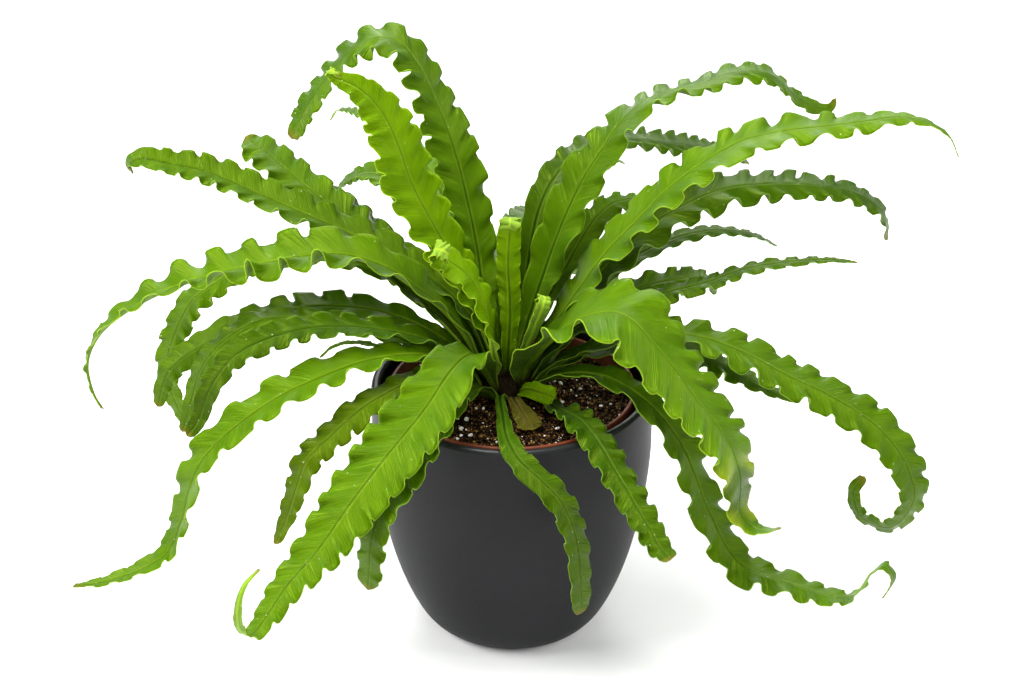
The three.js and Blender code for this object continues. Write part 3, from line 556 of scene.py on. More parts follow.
WAVE_FROM = 0.04  # share of the length where waves start
WAVE_OVER = 0.13  # share over which they grow
CALM_FROM = 0.7  # share from which they sink
CALM = 0.5  # share of them lost at the tip
VIGOUR = (0.45, 1.15)  # lowest and highest wave
SWELL = 0.3  # slow change in their height
PEAKED = 1.3  # over 1 for crests narrower than troughs
BROAD = 0.4  # share of a wave that reaches in towards the rib
BROAD_POWER = 1.1  # how it falls off from margin to rib
NEAR_POWER = 2.2  # how the rest of the wave does
SECOND = 0.22  # ripples on a wave
SWAY = 0.08  # one long wave of each margin
FAR = 0.7  # height of the far margin's waves
SIDE = 0.04  # share of waves that one margin has more, and the other less
SLANT = 0.7  # how far margins run ahead of the rib, in half widths
LOBE = -0.06  # how a fold changes the reach
TOOTH = 0.03  # and how lopsided it makes it
NARROW = 0.05  # lean of the crests along the blade, in pleats
OVERHANG = 0.045  # lean of both flanks of a fold, in pleats
CRINKLE = 0.22  # mm, puckers on the margin
COILED = 20  # mm of a coiled tip that are knobbly
COILED_IN = 8  # mm over which the knobs grow
CRUMPLE = 0.9  # mm, height of the knobs
RIB_STEP = 0.5  # mm
RIB_POINTS = 40  # on each span of a route
COIL_POINTS = 8  # on each turn of a coil
STEPS_A_FOLD = 7
ACROSS = 22  # faces from margin to margin
TO_RIB = 1.35  # over 1 for narrower ones near the rib

# heading is the way a frond grows, in degrees from +X towards +Y. foot is its whorl and its place
# round the crown. half is the half width in mm where the blade is widest, at the share peak of its
# length. rise says how late it widens, tail shapes the taper, and end is the half width at the tip.
# The blade starts as a gutter, and open is how far it lies open again, in half widths. pleat is the
# length of a wave of the margin and ruffle its height, in half widths. roll turns the blade about
# its rib, in degrees, at even steps from foot to tip. route is a list of reach, height above the
# soil and swing, in mm. curl rolls the tip up: its radius and its turns. A frond is as in USUAL in
# what it leaves out.
USUAL = dict(
    tone="mid", peak=0.5, rise=1, tail=0.8, end=1.5, open=0.55, pleat=17, ruffle=0.3, roll=(0, 0, 0),
)
FRONDS = {
    "frond_back_1": dict(
        heading=110, foot=(0, 100), half=13, peak=0.45, tail=0.35, pleat=16,
        roll=(0, 0, 10, 40, 45, 15),
        route=[(10, 42, 8), (18, 74, 9), (25, 102, 12), (33, 132, 17), (42, 157, 24), (48, 175, 31),
            (53, 186, 39), (58, 188, 49), (63, 181, 62), (66, 166, 75), (68, 149, 87), (69, 134, 94)],
    ),
    "frond_back_2": dict(
        heading=165, foot=(0, 172), tone="young", half=14.5, peak=0.6, tail=1.5, end=1.8, pleat=16,
        roll=(0, -20, -40, -40), curl=(3.6, 0.75),
        route=[(11, 42, 6), (18, 66, 10), (31, 101, 20), (42, 130, 27), (47, 151, 31), (53, 168, 34),
            (60, 180, 38), (67, 187, 42), (75, 191, 45)],
    ),
    "frond_back_3": dict(
        heading=78, foot=(1, 88), tone="dark", half=10, end=1.2, pleat=19,
        route=[(10, 34, 3), (21, 57, 4), (41, 72, 5), (66, 73, 5), (102, 63, 5), (138, 46, 4),
            (169, 27, 3), (192, 2, 1)],
    ),
    "frond_back_4": dict(
        heading=114, foot=(1, 122), half=7.5, peak=0.4, tail=1.1, end=0.8, pleat=16, roll=(0, -10, -20),
        route=[(14, 30), (27, 45), (62, 69), (107, 88), (157, 92), (204, 84), (231, 77), (254, 68),
            (266, 57)],
    ),
    "frond_back_5": dict(
        heading=132, foot=(2, 128), half=9, peak=0.6, end=1.2, open=0.15, pleat=15,
        roll=(0, -10, -10, -40),
        route=[(19, 29), (41, 57), (61, 79), (88, 91), (108, 93), (124, 86), (141, 74)],
    ),
    "frond_back_6": dict(
        heading=96, foot=(4, 96), tone="dark", half=11, end=1, pleat=20,
        route=[(30, 24), (60, 38), (92, 40), (120, 28), (142, 6), (154, -22), (160, -50)],
    ),
    "frond_back_7": dict(
        heading=68, foot=(4, 72), half=12, end=1, pleat=20,
        route=[(30, 22), (62, 33), (96, 34), (128, 22), (152, -2), (166, -34), (172, -62)],
    ),
    "frond_right_1": dict(
        heading=35, foot=(0, 28), half=13, peak=0.36, tail=0.7, end=1, pleat=20, ruffle=0.28,
        roll=(0, 20, 10, -20, -5, 35, 60),
        route=[(9, 24), (15, 41), (22, 59), (34, 87), (49, 113), (62, 128), (71, 138), (86, 147),
            (104, 150), (126, 149), (150, 150), (175, 143), (197, 124), (212, 115), (221, 113),
            (225, 118)],
    ),
    "frond_right_2": dict(
        heading=55, foot=(1, 55), tone="dark", half=10, tail=0.7, pleat=18, roll=(0, 20, 15, 35, 40),
        route=[(13, 27, 2), (22, 53, 3), (30, 80, 4), (40, 97, 5), (56, 107, 6), (80, 112, 6),
            (100, 111, 5), (128, 103, 3), (157, 91, 1), (191, 77), (226, 61), (254, 44)],
    ),
    "frond_right_3": dict(
        heading=40, foot=(2, 38), half=7.5, end=1.2, ruffle=0.34, roll=(0, 20, 10),
        route=[(20, 39), (34, 54), (48, 71), (60, 84), (72, 90), (82, 90), (102, 84), (117, 73)],
    ),
    "frond_right_4": dict(
        heading=62, foot=(3, 66), tone="dark", half=5, tail=0.9, end=1.6, pleat=15, roll=(0, 10, 0),
        route=[(19, 20), (33, 38), (50, 60), (70, 78), (92, 87), (114, 88), (131, 86), (141, 80)],
    ),
    "frond_right_5": dict(
        heading=4, foot=(2, 5), tone="bright", half=14, peak=0.36, tail=0.95, end=0.7, pleat=21,
        ruffle=0.28, roll=(0, 15, 12, 10, 0),
        route=[(16, 26), (27, 43), (37, 59), (52, 82), (67, 99), (82, 116), (100, 131), (120, 143),
            (141, 148), (162, 150), (182, 152), (202, 154), (218, 150), (228, 143), (234, 131)],
    ),
    "frond_right_6": dict(
        heading=22, foot=(3, 20), tone="dark", half=12.5, peak=0.35, tail=0.65, end=3.2, pleat=19,
        ruffle=0.32, roll=(0, 15, 15, 40),
        route=[(20, 24), (34, 38), (53, 60), (75, 81), (99, 93), (122, 99), (150, 98), (184, 91),
            (209, 81), (225, 67), (229, 51)],
    ),
    "frond_right_7": dict(
        heading=38, foot=(4, 40), tone="dark", half=6, peak=0.4, end=2.5, ruffle=0.22, roll=(0, 15, 10),
        route=[(25, 17), (39, 32), (62, 48), (80, 54), (99, 57), (120, 58), (144, 55), (163, 49),
            (181, 41), (197, 30)],
    ),
    "frond_right_8": dict(
        heading=12, foot=(4, 17), half=9, peak=0.6, tail=0.45, end=3, pleat=15, ruffle=0.36,
        roll=(0, 15, 20),
        route=[(21, 16), (32, 30), (47, 45), (72, 56), (92, 59), (104, 59), (111, 56), (115, 49)],
    ),
    "frond_right_9": dict(
        heading=355, foot=(3, 357), tone="dark", half=7, peak=0.4, tail=0.9, end=0.7, pleat=15,
        ruffle=0.34, roll=(0, 10, 10),
        route=[(20, 22), (33, 36), (50, 49), (68, 58), (85, 65), (106, 72), (124, 80), (147, 85),
            (167, 87), (181, 86)],
    ),
    "frond_left_1": dict(
        heading=182, foot=(2, 188), tone="bright", half=13.5, peak=0.4, tail=1.2, end=0.8, open=0.1,
        pleat=22, ruffle=0.42, roll=(0, -5, -6, -3, 0),
        route=[(14, 22), (21, 36), (31, 50), (44, 62), (62, 76), (84, 84), (106, 83.5), (128, 79),
            (151, 74), (175, 66), (200, 52), (214, 39), (221, 23), (219, 4), (215, -5)],
    ),
    "frond_left_2": dict(
        heading=163, foot=(1, 160), half=11, peak=0.45, tail=0.6, end=3, open=0.15,
        roll=(0, -8, -20, -35),
        route=[(15, 33), (29, 51, -2), (58, 70, -2), (92, 84, -1), (109, 90), (134, 98), (158, 106),
            (172, 109), (188, 110), (202, 111), (211, 108), (210, 102)],
    ),
    "frond_left_3": dict(
        heading=150, foot=(2, 153), half=12.5, peak=0.6, tail=0.5, end=10.5, pleat=18,
        roll=(0, -10, -15, -10),
        route=[(22, 28), (42, 46), (66, 65), (84, 74), (103, 82), (126, 94), (147, 106), (164, 114.5)],
    ),
    "frond_left_4": dict(
        heading=138, foot=(3, 136), tone="dark", half=11, peak=0.6, tail=0.7, roll=(0, -10, -10),
        route=[(24, 21), (48, 35), (69, 47), (89, 59), (108, 68), (128, 77), (149, 80)],
    ),
    "frond_left_5": dict(
        heading=170, foot=(3, 168), tone="bright", half=8.5, tail=0.55, end=2.2, ruffle=0.32,
        roll=(0, -10, -15, -40, -75, -80),
        route=[(20, 25), (35, 42), (49, 55), (64, 66), (89, 74), (111, 74), (132, 69), (146, 62),
            (158, 53), (171, 42), (182, 22), (189, -3), (184, -26), (174, -42)],
    ),
    "frond_left_6": dict(
        heading=174, foot=(4, 173), half=10, tail=0.55, end=1.6, pleat=18, ruffle=0.32,
        roll=(0, -15, -15, -45, -75),
        route=[(19, 17), (30, 28), (47, 39), (67, 46), (86, 48), (105, 47), (122, 42), (139, 35, 1),
            (162, 23, 3), (182, 7, 5), (190, -15, 7)],
    ),
    "frond_left_7": dict(
        heading=187, foot=(5, 184), half=7.5, peak=0.45, tail=0.6, end=1.4,
        roll=(0, -15, -15, -40, -75),
        route=[(21, 12), (32, 21, 1), (48, 34, 3), (67, 44, 4), (87, 51, 4), (108, 54, 3), (127, 53),
            (147, 43), (160, 28), (167, 8), (173, -11)],
    ),
    "frond_left_8": dict(
        heading=203, foot=(4, 203), tone="dark", half=8, peak=0.45, tail=0.55, end=2.2, open=0.35,
        roll=(0, -15, -15, -30, -55),
        route=[(21, 20), (33, 33), (49, 44), (70, 53), (89, 59), (109, 62), (133, 60), (149, 54),
            (162, 39), (170, 21), (176, 14)],
    ),
    "frond_left_9": dict(
        heading=212, foot=(5, 214), tone="bright", half=10.8, peak=0.45, tail=0.7, end=1, open=0.3,
        pleat=22, ruffle=0.28, roll=(0, -5, -5, 0, 0),
        route=[(21, 17), (32, 29), (48, 37), (67, 42), (88, 44), (111, 42), (134, 38), (153, 31),
            (168, 23), (180, 13), (186, 1), (192, -15, 1), (201, -31, 1), (215, -36, 1), (239, -37),
            (252, -34)],
    ),
    "frond_left_10": dict(
        heading=222, foot=(5, 233), tone="olive", half=8.6, tail=0.6, pleat=16, ruffle=0.32,
        roll=(0, -15, -10),
        route=[(26, 16), (43, 26), (60, 31.5), (74, 31.5), (96, 29), (119, 20), (134, 12), (142, -2),
            (149, -17), (156, -28)],
    ),
    "frond_front_1": dict(
        heading=238, foot=(3, 246), tone="bright", half=16.5, peak=0.32, tail=1.4, end=0.7, ruffle=0.28,
        roll=(0, -10, -10, 0, 0),
        route=[(16, 18), (25, 31), (37, 41, 1), (56, 41, 2), (82, 31, 3), (118, 20, 3), (148, 8, 2),
            (172, -4, 1), (198, -12, 0), (216, -19, 1), (226, -22, 1), (234, -15, 1), (235, -2, 1),
            (230, 7, 1), (218, 10, 1)],
    ),
    "frond_front_2": dict(
        heading=243, foot=(5, 252), half=9, tail=0.35, end=5, roll=(0, 0, 10),
        route=[(20, 12), (33, 20), (58, 24), (80, 20), (101, 12), (121, 4), (135, 1), (144, -9),
            (150, -36)],
    ),
    "frond_front_3": dict(
        heading=280, foot=(5, 268), tone="dark", half=7, peak=0.62, rise=2.4, tail=0.5, end=4.2,
        pleat=19, ruffle=0.24, roll=(0, 0, 10, 10),
        route=[(27, 14, -8), (53, 16, -11), (78, 18, -13), (96, 16, -10), (108, 10, -1), (114, 0, 8),
            (118, -21, 15), (121, -51, 17), (121, -62, 17)],
    ),
    "frond_front_4": dict(
        heading=298, foot=(5, 314), tone="dark", half=8.5, peak=0.45, tail=0.4, end=3, pleat=15,
        ruffle=0.4, roll=(0, 5, 10),
        route=[(21, 7, 8), (33, 7, 9), (43, 9, 9), (54, 13, 8), (71, 17, 6), (90, 15, 5), (110, 8, 4),
            (126, 1, 4), (141, -6, 4), (154, -12, 4), (163, -13, 4)],
    ),
    "frond_front_5": dict(
        heading=328, foot=(5, 336), half=10.5, rise=0.7, tail=0.9, end=1.2, pleat=20, ruffle=0.32,
        roll=(0, 10, 10, 0, 0),
        route=[(21, 14, 1), (36, 22, 1), (55, 27, 1), (72, 25, 1), (89, 17, 1), (106, -1, 2),
            (122, -33, 2), (141, -59, 2), (172, -62, 2), (205, -58, 2), (215, -40, 2), (222, -33, 2),
            (227, -40, 2), (222, -53, 2)],
    ),
    "frond_front_6": dict(
        heading=322, foot=(2, 316), tone="bright", half=24, peak=0.34, rise=0.5, tail=0.85, end=0.8,
        pleat=19, ruffle=0.17, roll=(0, 10, 0, 0, 0),
        route=[(12, 20), (18, 29), (29, 43, 1), (52, 63, 1), (73, 70, 2), (98, 56, 2), (120, 37, 2),
            (141, 19, 1), (148, 2, 1), (150, -17), (161, -23), (174, -17)],
    ),
    "frond_front_7": dict(
        heading=343, foot=(4, 341), half=12.5, peak=0.42, tail=1, end=2.6, ruffle=0.28,
        roll=(0, 10, 15, 40, 70),
        route=[(20, 17), (33, 27), (53, 38), (79, 46.5, 3), (102, 49, 3), (127, 44, 2), (152, 35),
            (176, 26), (201, 11), (216, -9), (220, -27), (209, -45), (194, -41), (189, -27),
            (194, -17)],
    ),
    "frond_front_8": dict(
        heading=348, foot=(5, 353), half=9, tail=0.7, pleat=16, ruffle=0.32, roll=(0, 15, 10),
        route=[(22, 14.8), (33, 23.6), (50, 33), (71, 38.5), (94, 38), (115, 31), (138, 20), (156, 14)],
    ),
    "frond_young_1": dict(
        heading=90, foot=(0, 280), tone="young", half=6, peak=0.6, tail=0.25, end=4.5, pleat=12,
        ruffle=0.22, curl=(3.4, 0.9),
        route=[(-6, 28, -1), (-6, 52, -2), (-5, 80, -1), (-3, 103, -2)],
    ),
    "frond_young_2": dict(
        heading=200, foot=(1, 216), tone="young", half=10, peak=0.36, tail=1.1, end=4.2, ruffle=0.2,
        roll=(0, -30, -60), curl=(4.6, 0.9),
        route=[(8, 22, 5), (11, 40, 8), (15, 56, 11), (20, 71, 13), (26, 82, 14), (35, 91, 15),
            (43, 98, 16)],
    ),
    "frond_young_3": dict(
        heading=320, foot=(1, 330), tone="young", half=3.8, tail=0.4, end=3.6, pleat=12, ruffle=0.14,
        roll=(0, -25, -50), curl=(4, 0.9),
        route=[(12, 26, -1), (17, 39, -2), (22, 52, -2), (26, 61, -2)],
    ),
    "frond_short_1": dict(
        heading=0, foot=(4, 302), tone="young", half=4.9, tail=0.25, end=4.2, pleat=14, ruffle=0.14,
        roll=(0, 10, 10),
        route=[(11, 13, -18), (18, 15, -25), (26, 14, -29)],
    ),
    "frond_dry_1": dict(
        heading=286, foot=(5, 289), tone="dry", half=6.5, peak=0.9, tail=0.5, end=6, pleat=11,
        ruffle=0.08, roll=(0, 0),
        route=[(18, 7, -1), (30, 7, -1), (40, 6), (49, 5)],
    ),
    "frond_short_2": dict(
        heading=200, foot=(5, 199), half=3, peak=0.4, tail=1, end=0.8, pleat=12, ruffle=0.2,
        roll=(0, 0),
        route=[(22, 15), (36, 24, 3), (52, 33, 3), (70, 42), (86, 47), (95, 46), (102, 41)],
    ),
}


def along(values, t):
    """Values at even steps from foot to tip, read smoothly at the shares t."""
    at = np.clip(t, 0, 1) * (len(values) - 1)
    i = np.minimum(at.astype(int), len(values) - 2)
    f = at - i
    values = np.array(values, float)
    return values[i] + (values[i + 1] - values[i]) * f * f * (3 - 2 * f)


def coil(points, radius, turns, roll):
    """The points of a coiled tip: a shrinking spiral towards the blade's upper face."""
    ahead = np.array(points[-1], float) - np.array(points[-2], float)
    ahead[1] = 0
    ahead /= np.linalg.norm(ahead)
    face = math.radians(roll)
    inward = np.array((-ahead[2] * math.cos(face), -math.sin(face), ahead[0] * math.cos(face)))
    centre = np.array(points[-1]) + inward * radius
    spiral = []
    for i in range(1, round(turns * COIL_POINTS) + 1):
        angle = i / COIL_POINTS * 2 * math.pi
        reach = radius * (1 - 0.5 * i / COIL_POINTS)
        spiral.append(centre + ahead * reach * math.sin(angle) - inward * reach * math.cos(angle))
    return spiral


def rib_of(frond):
    """A frond's rib: lengths from the foot, and its point, direction, side and up at each."""
    latitude = math.radians(WHORL[frond["foot"][0]])
    off = math.radians(frond["foot"][1] - frond["heading"])
    out = (CROWN_RADIUS + BLADE_GAP) * math.cos(latitude)
    high = CROWN_EQUATOR + (CROWN_RISE + BLADE_GAP) * math.sin(latitude)
    points = [(out * math.cos(off), out * math.sin(off), high)]
    points += [(p[0], p[2] if len(p) > 2 else 0, p[1]) for p in frond["route"]]
    if "curl" in frond:
        points += coil(points, *frond["curl"], frond["roll"][-1])
    close = smooth_run(points, RIB_POINTS)
    run = np.append(0, np.cumsum(np.linalg.norm(np.diff(close, axis=0), axis=1)))
    s = np.linspace(0, run[-1], int(run[-1] / RIB_STEP) + 1)
    point = np.stack([np.interp(s, run, close[:, k]) for k in range(3)], 1)
    ahead = np.gradient(point, axis=0)
    ahead /= np.linalg.norm(ahead, axis=1)[:, None]
    level = [np.array((0.0, 1.0, 0.0))]
    for direction in ahead:
        side = level[-1] - direction * (level[-1] @ direction)
        level.append(side / np.linalg.norm(side))
    level = np.array(level[1:])
    roll = np.radians(along(frond["roll"], s / s[-1]))[:, None]
    side = level * np.cos(roll) + np.cross(ahead, level) * np.sin(roll)
    return s, point, ahead, side, np.cross(ahead, side)


def half_width(frond, t):
    """The half width in mm at the shares t of the length."""
    half, peak, end = frond["half"], frond["peak"], frond["end"]
    foot = min(BLADE_FOOT, half / 2)
    before = np.clip(t / peak, 0, 1)
    after = np.clip((t - peak) / (1 - peak), 0, 1)
    rising = foot + (half - foot) * np.sin(math.pi / 2 * before) ** frond["rise"]
    falling = end + (half - end) * np.cos(math.pi / 2 * after) ** frond["tail"]
    return np.where(t < peak, rising, falling)


def folds_of(frond, length):
    """How many folds, up and down, a margin has."""
    return max(4, round(BUSY * 2 * length / frond["pleat"]))


def blade_points(frond, index, x, v):
    """Places in mm on the blade's upper face, with the length, share and reach of each.

    x runs from foot to tip, evenly over the folds, and v from one margin to the other.
    """
    s_rib, point, ahead, side, up = rib_of(frond)
    length = s_rib[-1]
    folds = folds_of(frond, length)
    drift = DRIFT * index
    reach_share = np.abs(v)
    draw = random.Random(index)

    def varied(low, high):
        """A value drawn for each fold of each margin, run evenly from fold to fold."""
        one, other = (
            np.interp(x * folds, range(folds + 1), [draw.uniform(low, high) for _ in range(folds + 1)])
            for _ in range(2)
        )
        return np.where(v > 0, one, other)

    shifted = UNEVEN * frond["pleat"] * np.sin(9 * x + drift) * 4 * x * (1 - x)
    s = length * x * (1 + CROWDED * (1 - x)) + shifted
    t = s / length
    rounding = max(TIP_LEAST, TIP_ROUND * frond["end"])
    past = np.clip((s - length + rounding) / rounding, 0, 1)
    wide = half_width(frond, t) * np.maximum(np.sqrt(1 - past**2), TIP_BLUNT)

    wander = varied(-1, 1)
    vigour = varied(*VIGOUR)
    second = varied(-SECOND, SECOND)
    turn = math.radians(frond["heading"])
    phase = math.pi * folds * x * (1 + SIDE * np.sign(v)) + wander
    phase = phase + math.pi * ((v > 0) & (index % 2 == 1))
    fold = 2 * ((1 + np.cos(phase)) / 2) ** PEAKED - 1
    upward = np.where(v * math.cos(turn) < 0, 1, -FAR)
    beat = BROAD * np.cos(phase) * reach_share**BROAD_POWER
    beat = beat + (1 - BROAD) * fold * reach_share**NEAR_POWER
    beat = vigour * upward * beat + second * np.cos(2 * phase + 1) * reach_share**2
    ramp = np.clip((t - WAVE_FROM) / WAVE_OVER, 0, 1)
    ramp = ramp * (1 - CALM * np.clip((t - CALM_FROM) / (1 - CALM_FROM), 0, 1))
    swell = 1 + SWELL * np.sin(11 * x + 1.7 * drift + np.sign(v))
    sway = SWAY * reach_share * np.sin(7 * x + drift + 2 * np.sign(v))
    gutter = GUTTER_DEEP * np.minimum(1, 12 * t) - frond["open"] * np.minimum(1, 2.2 * t)
    lift = wide * (reach_share * gutter + ramp * (frond["ruffle"] * swell * beat + sway))
    reach = v * wide * (1 + ramp * reach_share**2 * vigour * (LOBE * fold + TOOTH * np.sin(phase)))
    lead = SLANT * wide * reach_share * (1 - t**4) * np.minimum(1, 4 * t)
    lean = OVERHANG * np.sin(2 * phase) - NARROW * np.sin(phase)
    at = np.clip(s + lead + lean * frond["pleat"] * ramp * reach_share**2, 0, length)

    across_mm = np.abs(reach)
    groove = -GROOVE_DEEP * np.exp(-((across_mm / GROOVE_HALF) ** 2))
    banks = BANK_HIGH * np.exp(-(((across_mm - BANK_OFF) / BANK_HALF) ** 2))
    if "curl" in frond:
        knobbly = np.clip((s - length + COILED) / COILED_IN, 0, 1)
        lift = lift + CRUMPLE * knobbly * np.sin(1.7 * s + 2.5 * v) * reach_share**0.5
        reach = reach * (1 - 0.2 * knobbly * (1 + np.sin(2.1 * s + v)))
    uneven = 5 * np.sin(drift + 4 * x) + np.sign(v)
    crinkle = CRINKLE * reach_share**3 * ramp * np.sin(3.1 * phase + uneven)
    lift = lift + LAMINA / 2 + (1 - THINNER * t) * (groove + banks) + crinkle

    def read(field):
        return np.stack([np.interp(at, s_rib, field[:, k]) for k in range(3)], 1)

    place = read(point) + read(side) * reach[:, None] + read(up) * lift[:, None]
    place -= np.where(x < 1e-6, SUNK, 0)[:, None] * ahead[0]
    east = place[:, 0] * math.cos(turn) - place[:, 1] * math.sin(turn) + CROWN_X
    north = place[:, 0] * math.sin(turn) + place[:, 1] * math.cos(turn) + CROWN_Y
    return np.stack([east, north, place[:, 2] + SOIL_TOP], 1), s, t, reach


def blade(name, frond, index, materials):
    """A fine blade on the frond's rib, its margins in rounded, overhanging waves."""
    folds = folds_of(frond, rib_of(frond)[0][-1])
    bm = bmesh.new()
    bmesh.ops.create_grid(bm, x_segments=folds * STEPS_A_FOLD, y_segments=ACROSS, size=0.5)
    flat = np.array([vert.co[:2] for vert in bm.verts])
    x = flat[:, 0] + 0.5
    v = np.sign(flat[:, 1]) * np.abs(2 * flat[:, 1]) ** TO_RIB
    places, s, t, reach = blade_points(frond, index, x, v)

    keel = np.exp(-((reach / KEEL_HALF) ** 2)) * (1 - t) ** 1.2 * min(1, frond["half"] / KEEL_FULL)
    thick = np.clip((LAMINA + (KEEL - LAMINA) * np.maximum(keel, np.exp(-s / STALK))) / KEEL, 0, 1)
    weights = bm.verts.layers.deform.verify()
    for vert, co, weight in zip(bm.verts, places * MM, thick):
        vert.co = co
        vert[weights][0] = weight

    piece = new_piece(name, bm, materials)
    mesh = piece.data
    corner = np.empty(len(mesh.loops), int)
    mesh.loops.foreach_get("vertex_index", corner)
    for layer, values in (("blade", np.stack([s, reach], 1)), ("share", np.stack([t, v], 1))):
        mesh.uv_layers.new(name=layer).uv.foreach_set("vector", values[corner].astype(np.float32).ravel())
    piece.vertex_groups.new(name="thickness")
    shell = piece.modifiers.new("blade's thickness", "SOLIDIFY")
    shell.thickness = KEEL * MM
    shell.offset = -1
    shell.vertex_group = "thickness"
    shell.use_quality_normals = True
    shell.material_offset = 1
    shell.material_offset_rim = 2
    return piece


# A living leaf: a waxy cuticle over green tissue, which lets some light through. Veins stand about
# 1.3 mm apart, with finer streaks among them. The rib is a dark line between paler banks, about
# 3 mm wide together near the foot; on the upper face the dark line is painted shade in its groove.
# The margin is a paler hairline, and towards the foot the blade darkens, partly its own older tissue
# and partly painted shade from the crown. A few pale specks lie on it.
VEIN_PITCH = 1.3  # mm
VEIN_SLANT = 0.25  # mm that a vein runs forward for each mm outward
# Each tone: deep and light blade colours, the rib's, the margin's, a darker colour painted as shade in
# the rib's groove, and the foot's, which is partly darker tissue and partly painted shade from the crown.
LEAF_TONES = {
    "bright": ("#325600", "#4e7200", "#7c9c1c", "#84a428", "#2e4c00", "#1c3c00"),
    "mid": ("#294a00", "#436600", "#6e9020", "#72942a", "#264200", "#163400"),
    "dark": ("#1c3a00", "#335200", "#587e1e", "#628626", "#1c3400", "#102a00"),
    "young": ("#466c00", "#6c9200", "#96b62c", "#98b62c", "#466600", "#284c00"),
    "olive": ("#304600", "#486400", "#708626", "#748628", "#2c4000", "#1c3000"),
    "dry": ("#38340e", "#5a511a", "#867c44", "#5e4c24", "#4a4018", "#2c2208"),
}
UNDERSIDE = "#9ab574"
UNDERSIDE_SHARE = 0.4  # how far the underside's tones are moved towards it
WAXY = 0.31  # roughness of the upper face
DULL = 0.55  # of the underside
CUT = 0.5  # of the margin
STAIN = (0.77, 0.88)  # where the broad front blade is water-stained, as shares of its length


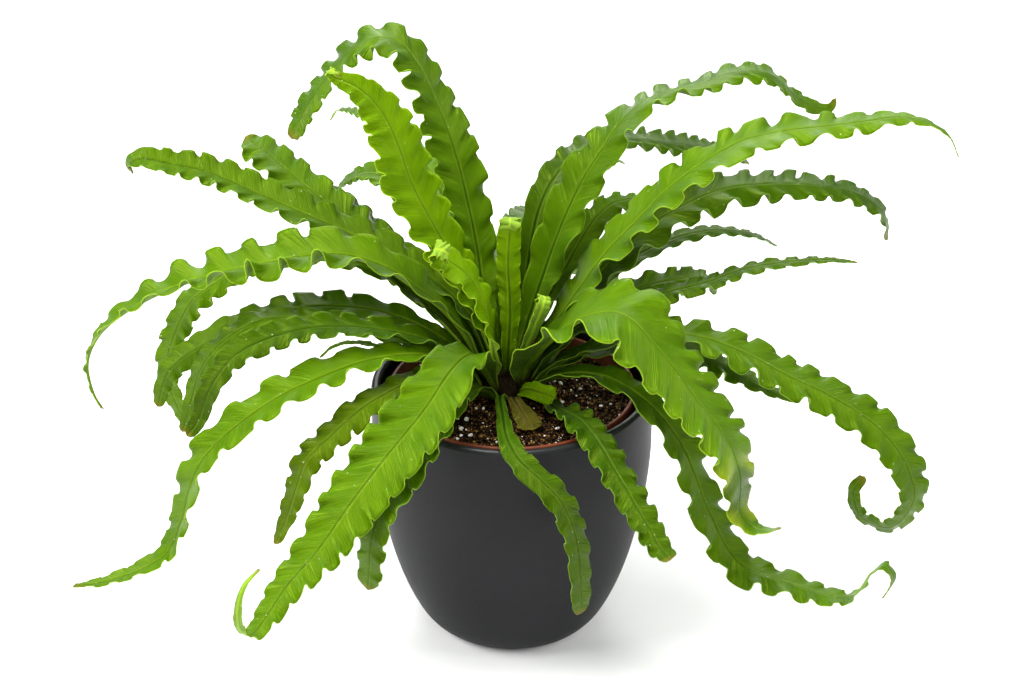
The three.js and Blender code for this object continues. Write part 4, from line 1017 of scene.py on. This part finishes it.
def leaf_face(name, deep, light, rib, margin, groove, foot_colour_and_shade, roughness, stain=None):
    """The material of one face of a blade, which reads its place on the blade from the UV maps."""
    material, tree, shader = new_material(name)
    plus = {"operation": "MULTIPLY_ADD"}
    smooth = {"interpolation_type": "SMOOTHSTEP"}
    place = add_node(tree, "TexCoord")["Object"]
    blade_uv = add_node(tree, "UVMap", uv_map="blade")[0]
    share_uv = add_node(tree, "UVMap", uv_map="share")[0]
    run, across, _ = add_node(tree, "SeparateXYZ", {0: blade_uv})
    length_share, side_share, _ = add_node(tree, "SeparateXYZ", {0: share_uv})
    across = add_node(tree, "Math", {0: across}, operation="ABSOLUTE")[0]
    side_share = add_node(tree, "Math", {0: side_share}, operation="ABSOLUTE")[0]
    patches = add_node(tree, "TexNoise", {"Vector": place, "Scale": 1 / (17 * MM), "Detail": 3.0})[0]
    cells = add_node(tree, "TexNoise", {"Vector": place, "Scale": 1 / (0.9 * MM), "Detail": 2.0})[0]
    wander = add_node(tree, "TexNoise", {"Vector": blade_uv, "Scale": 0.12, "Detail": 1.0})[0]

    along_vein = add_node(tree, "Math", {0: across, 1: -VEIN_SLANT, 2: run}, **plus)[0]
    along_vein = add_node(tree, "Math", {0: wander, 1: 2.5, 2: along_vein}, **plus)[0]
    turns = add_node(tree, "Math", {0: along_vein, 1: 2 * math.pi / VEIN_PITCH}, operation="MULTIPLY")[0]
    wave = add_node(tree, "Math", {0: turns}, operation="SINE")[0]
    vein = add_node(tree, "Math", {0: wave, 1: 0.5, 2: 0.5}, **plus)[0]
    fine = {"W": along_vein, "Scale": 2.25, "Detail": 3.0}
    fine = add_node(tree, "TexNoise", fine, noise_dimensions="1D")[0]
    streak = add_node(tree, "MapRange", {0: fine, 1: 0.35, 2: 0.65}, **smooth)[0]

    tone = add_node(tree, "MapRange", {0: patches, 1: 0.3, 2: 0.7, 4: 0.45}, **smooth)[0]
    tone = add_node(tree, "Math", {0: vein, 1: 0.2, 2: tone}, **plus)[0]
    tone = add_node(tree, "Math", {0: streak, 1: 0.4, 2: tone}, **plus, use_clamp=True)[0]
    colour = {0: tone, 6: linear(deep), 7: linear(light)}
    colour = add_node(tree, "Mix", colour, data_type="RGBA")[2]

    rib_wide = add_node(tree, "Math", {0: length_share, 1: -0.9, 2: 1.6}, **plus)[0]
    from_rib = add_node(tree, "Math", {0: across, 1: rib_wide}, operation="DIVIDE")[0]
    fading = add_node(tree, "Math", {0: length_share, 1: -0.4, 2: 0.55}, **plus)[0]
    specks = add_node(tree, "TexVoronoi", {"Vector": blade_uv, "Scale": 0.55, "Randomness": 1.0})
    chosen = add_node(tree, "SeparateColor", {0: specks["Color"]})[0]
    few = add_node(tree, "MapRange", {0: chosen, 1: 0.92, 2: 0.93, 4: 0.7}, **smooth)[0]
    # Each layer is a measure, where it starts and where it is full, its strength and its colour.
    layers = [
        (from_rib, 1.25, 0.6, fading, rib),
        # Painted shade: a dark line in the rib's groove.
        (from_rib, 0.8, 0.25, 0.85, groove),
        (side_share, 0.97, 1.0, 0.5, margin),
        (specks["Distance"], 0.16, 0.08, few, "#e6efc8"),
        # Painted shade near the crown: the blade darkens towards its foot, partly its own darker tissue.
        (length_share, 0.25, 0.02, 0.7, foot_colour_and_shade),
    ]
    if stain:
        half = (stain[1] - stain[0]) / 2
        ragged = add_node(tree, "Math", {0: wander, 1: 0.06, 2: length_share}, **plus)[0]
        off = add_node(tree, "Math", {0: ragged, 1: sum(stain) / 2 + 0.03}, operation="SUBTRACT")[0]
        off = add_node(tree, "Math", {0: off}, operation="ABSOLUTE")[0]
        outer = add_node(tree, "Math", {0: side_share, 1: 0.7}, operation="MULTIPLY")[0]
        layers.append((off, half + 0.05, half + 0.01, outer, "#8e9c1e"))
        layers.append((off, half, half - 0.03, 0.85, "#264800"))
    layers += [(length_share, 0.975, 1.0, 0.7, "#665418"), (length_share, 0.03, 0.0, 1.0, "#231c0c")]
    for measure, start, full, strength, shade in layers:
        share = add_node(tree, "MapRange", {0: measure, 1: start, 2: full, 4: strength}, **smooth)[0]
        colour = add_node(tree, "Mix", {0: share, 6: colour, 7: linear(shade)}, data_type="RGBA")[2]
    tree.links.new(colour, shader.inputs["Base Color"])

    rough = add_node(tree, "Math", {0: patches, 1: 0.14, 2: roughness - 0.07}, **plus)[0]
    tree.links.new(rough, shader.inputs["Roughness"])
    relief = add_node(tree, "Math", {0: cells, 1: 0.15}, operation="MULTIPLY")[0]
    relief = add_node(tree, "Math", {0: vein, 1: 0.12, 2: relief}, **plus)[0]
    relief = add_node(tree, "Math", {0: streak, 1: 0.35, 2: relief}, **plus)[0]
    bump = add_node(tree, "Bump", {"Height": relief, "Distance": 0.6 * MM, "Strength": 0.8})
    tree.links.new(bump["Normal"], shader.inputs["Normal"])
    shader.inputs["Subsurface Weight"].default_value = 0.15
    shader.inputs["Subsurface Radius"].default_value = (0.6, 1.0, 0.1)
    shader.inputs["Subsurface Scale"].default_value = 0.9 * MM
    shader.inputs["Specular IOR Level"].default_value = 0.4
    shader.inputs["Specular Tint"].default_value = linear("#e2ff40")
    return material


def paler(shade):
    """A hex colour moved towards that of a leaf's underside."""
    pairs = [(int(shade[i : i + 2], 16), int(UNDERSIDE[i : i + 2], 16)) for i in (1, 3, 5)]
    return "#" + "".join(f"{round(p + (q - p) * UNDERSIDE_SHARE):02x}" for p, q in pairs)


leaf_materials = {}
for tone, (deep, light, rib, margin, groove, foot_colour_and_shade) in LEAF_TONES.items():
    upper = leaf_face(f"{tone} fern leaf, waxy upper face", deep, light, rib, margin, groove, foot_colour_and_shade, WAXY)
    # The underside has no painted groove shade: its groove colour is the rib's.
    below = leaf_face(
        f"{tone} fern leaf, dull underside", paler(deep), paler(light), rib, margin, rib, foot_colour_and_shade, DULL
    )
    edge = leaf_face(f"{tone} fern leaf, cut margin", *[margin] * 6, CUT)
    leaf_materials[tone] = [upper, below, edge]

stained = leaf_face("bright fern leaf, stained near its tip", *LEAF_TONES["bright"], WAXY, STAIN)

for index, (name, own) in enumerate(FRONDS.items()):
    frond = USUAL | own
    faces = leaf_materials[frond["tone"]]
    if name == "frond_front_6":
        faces = [stained] + faces[1:]
    leaf = blade(name + "_blade", frond, index, faces)
    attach(leaf, "root")
    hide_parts(name)

low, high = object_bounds()
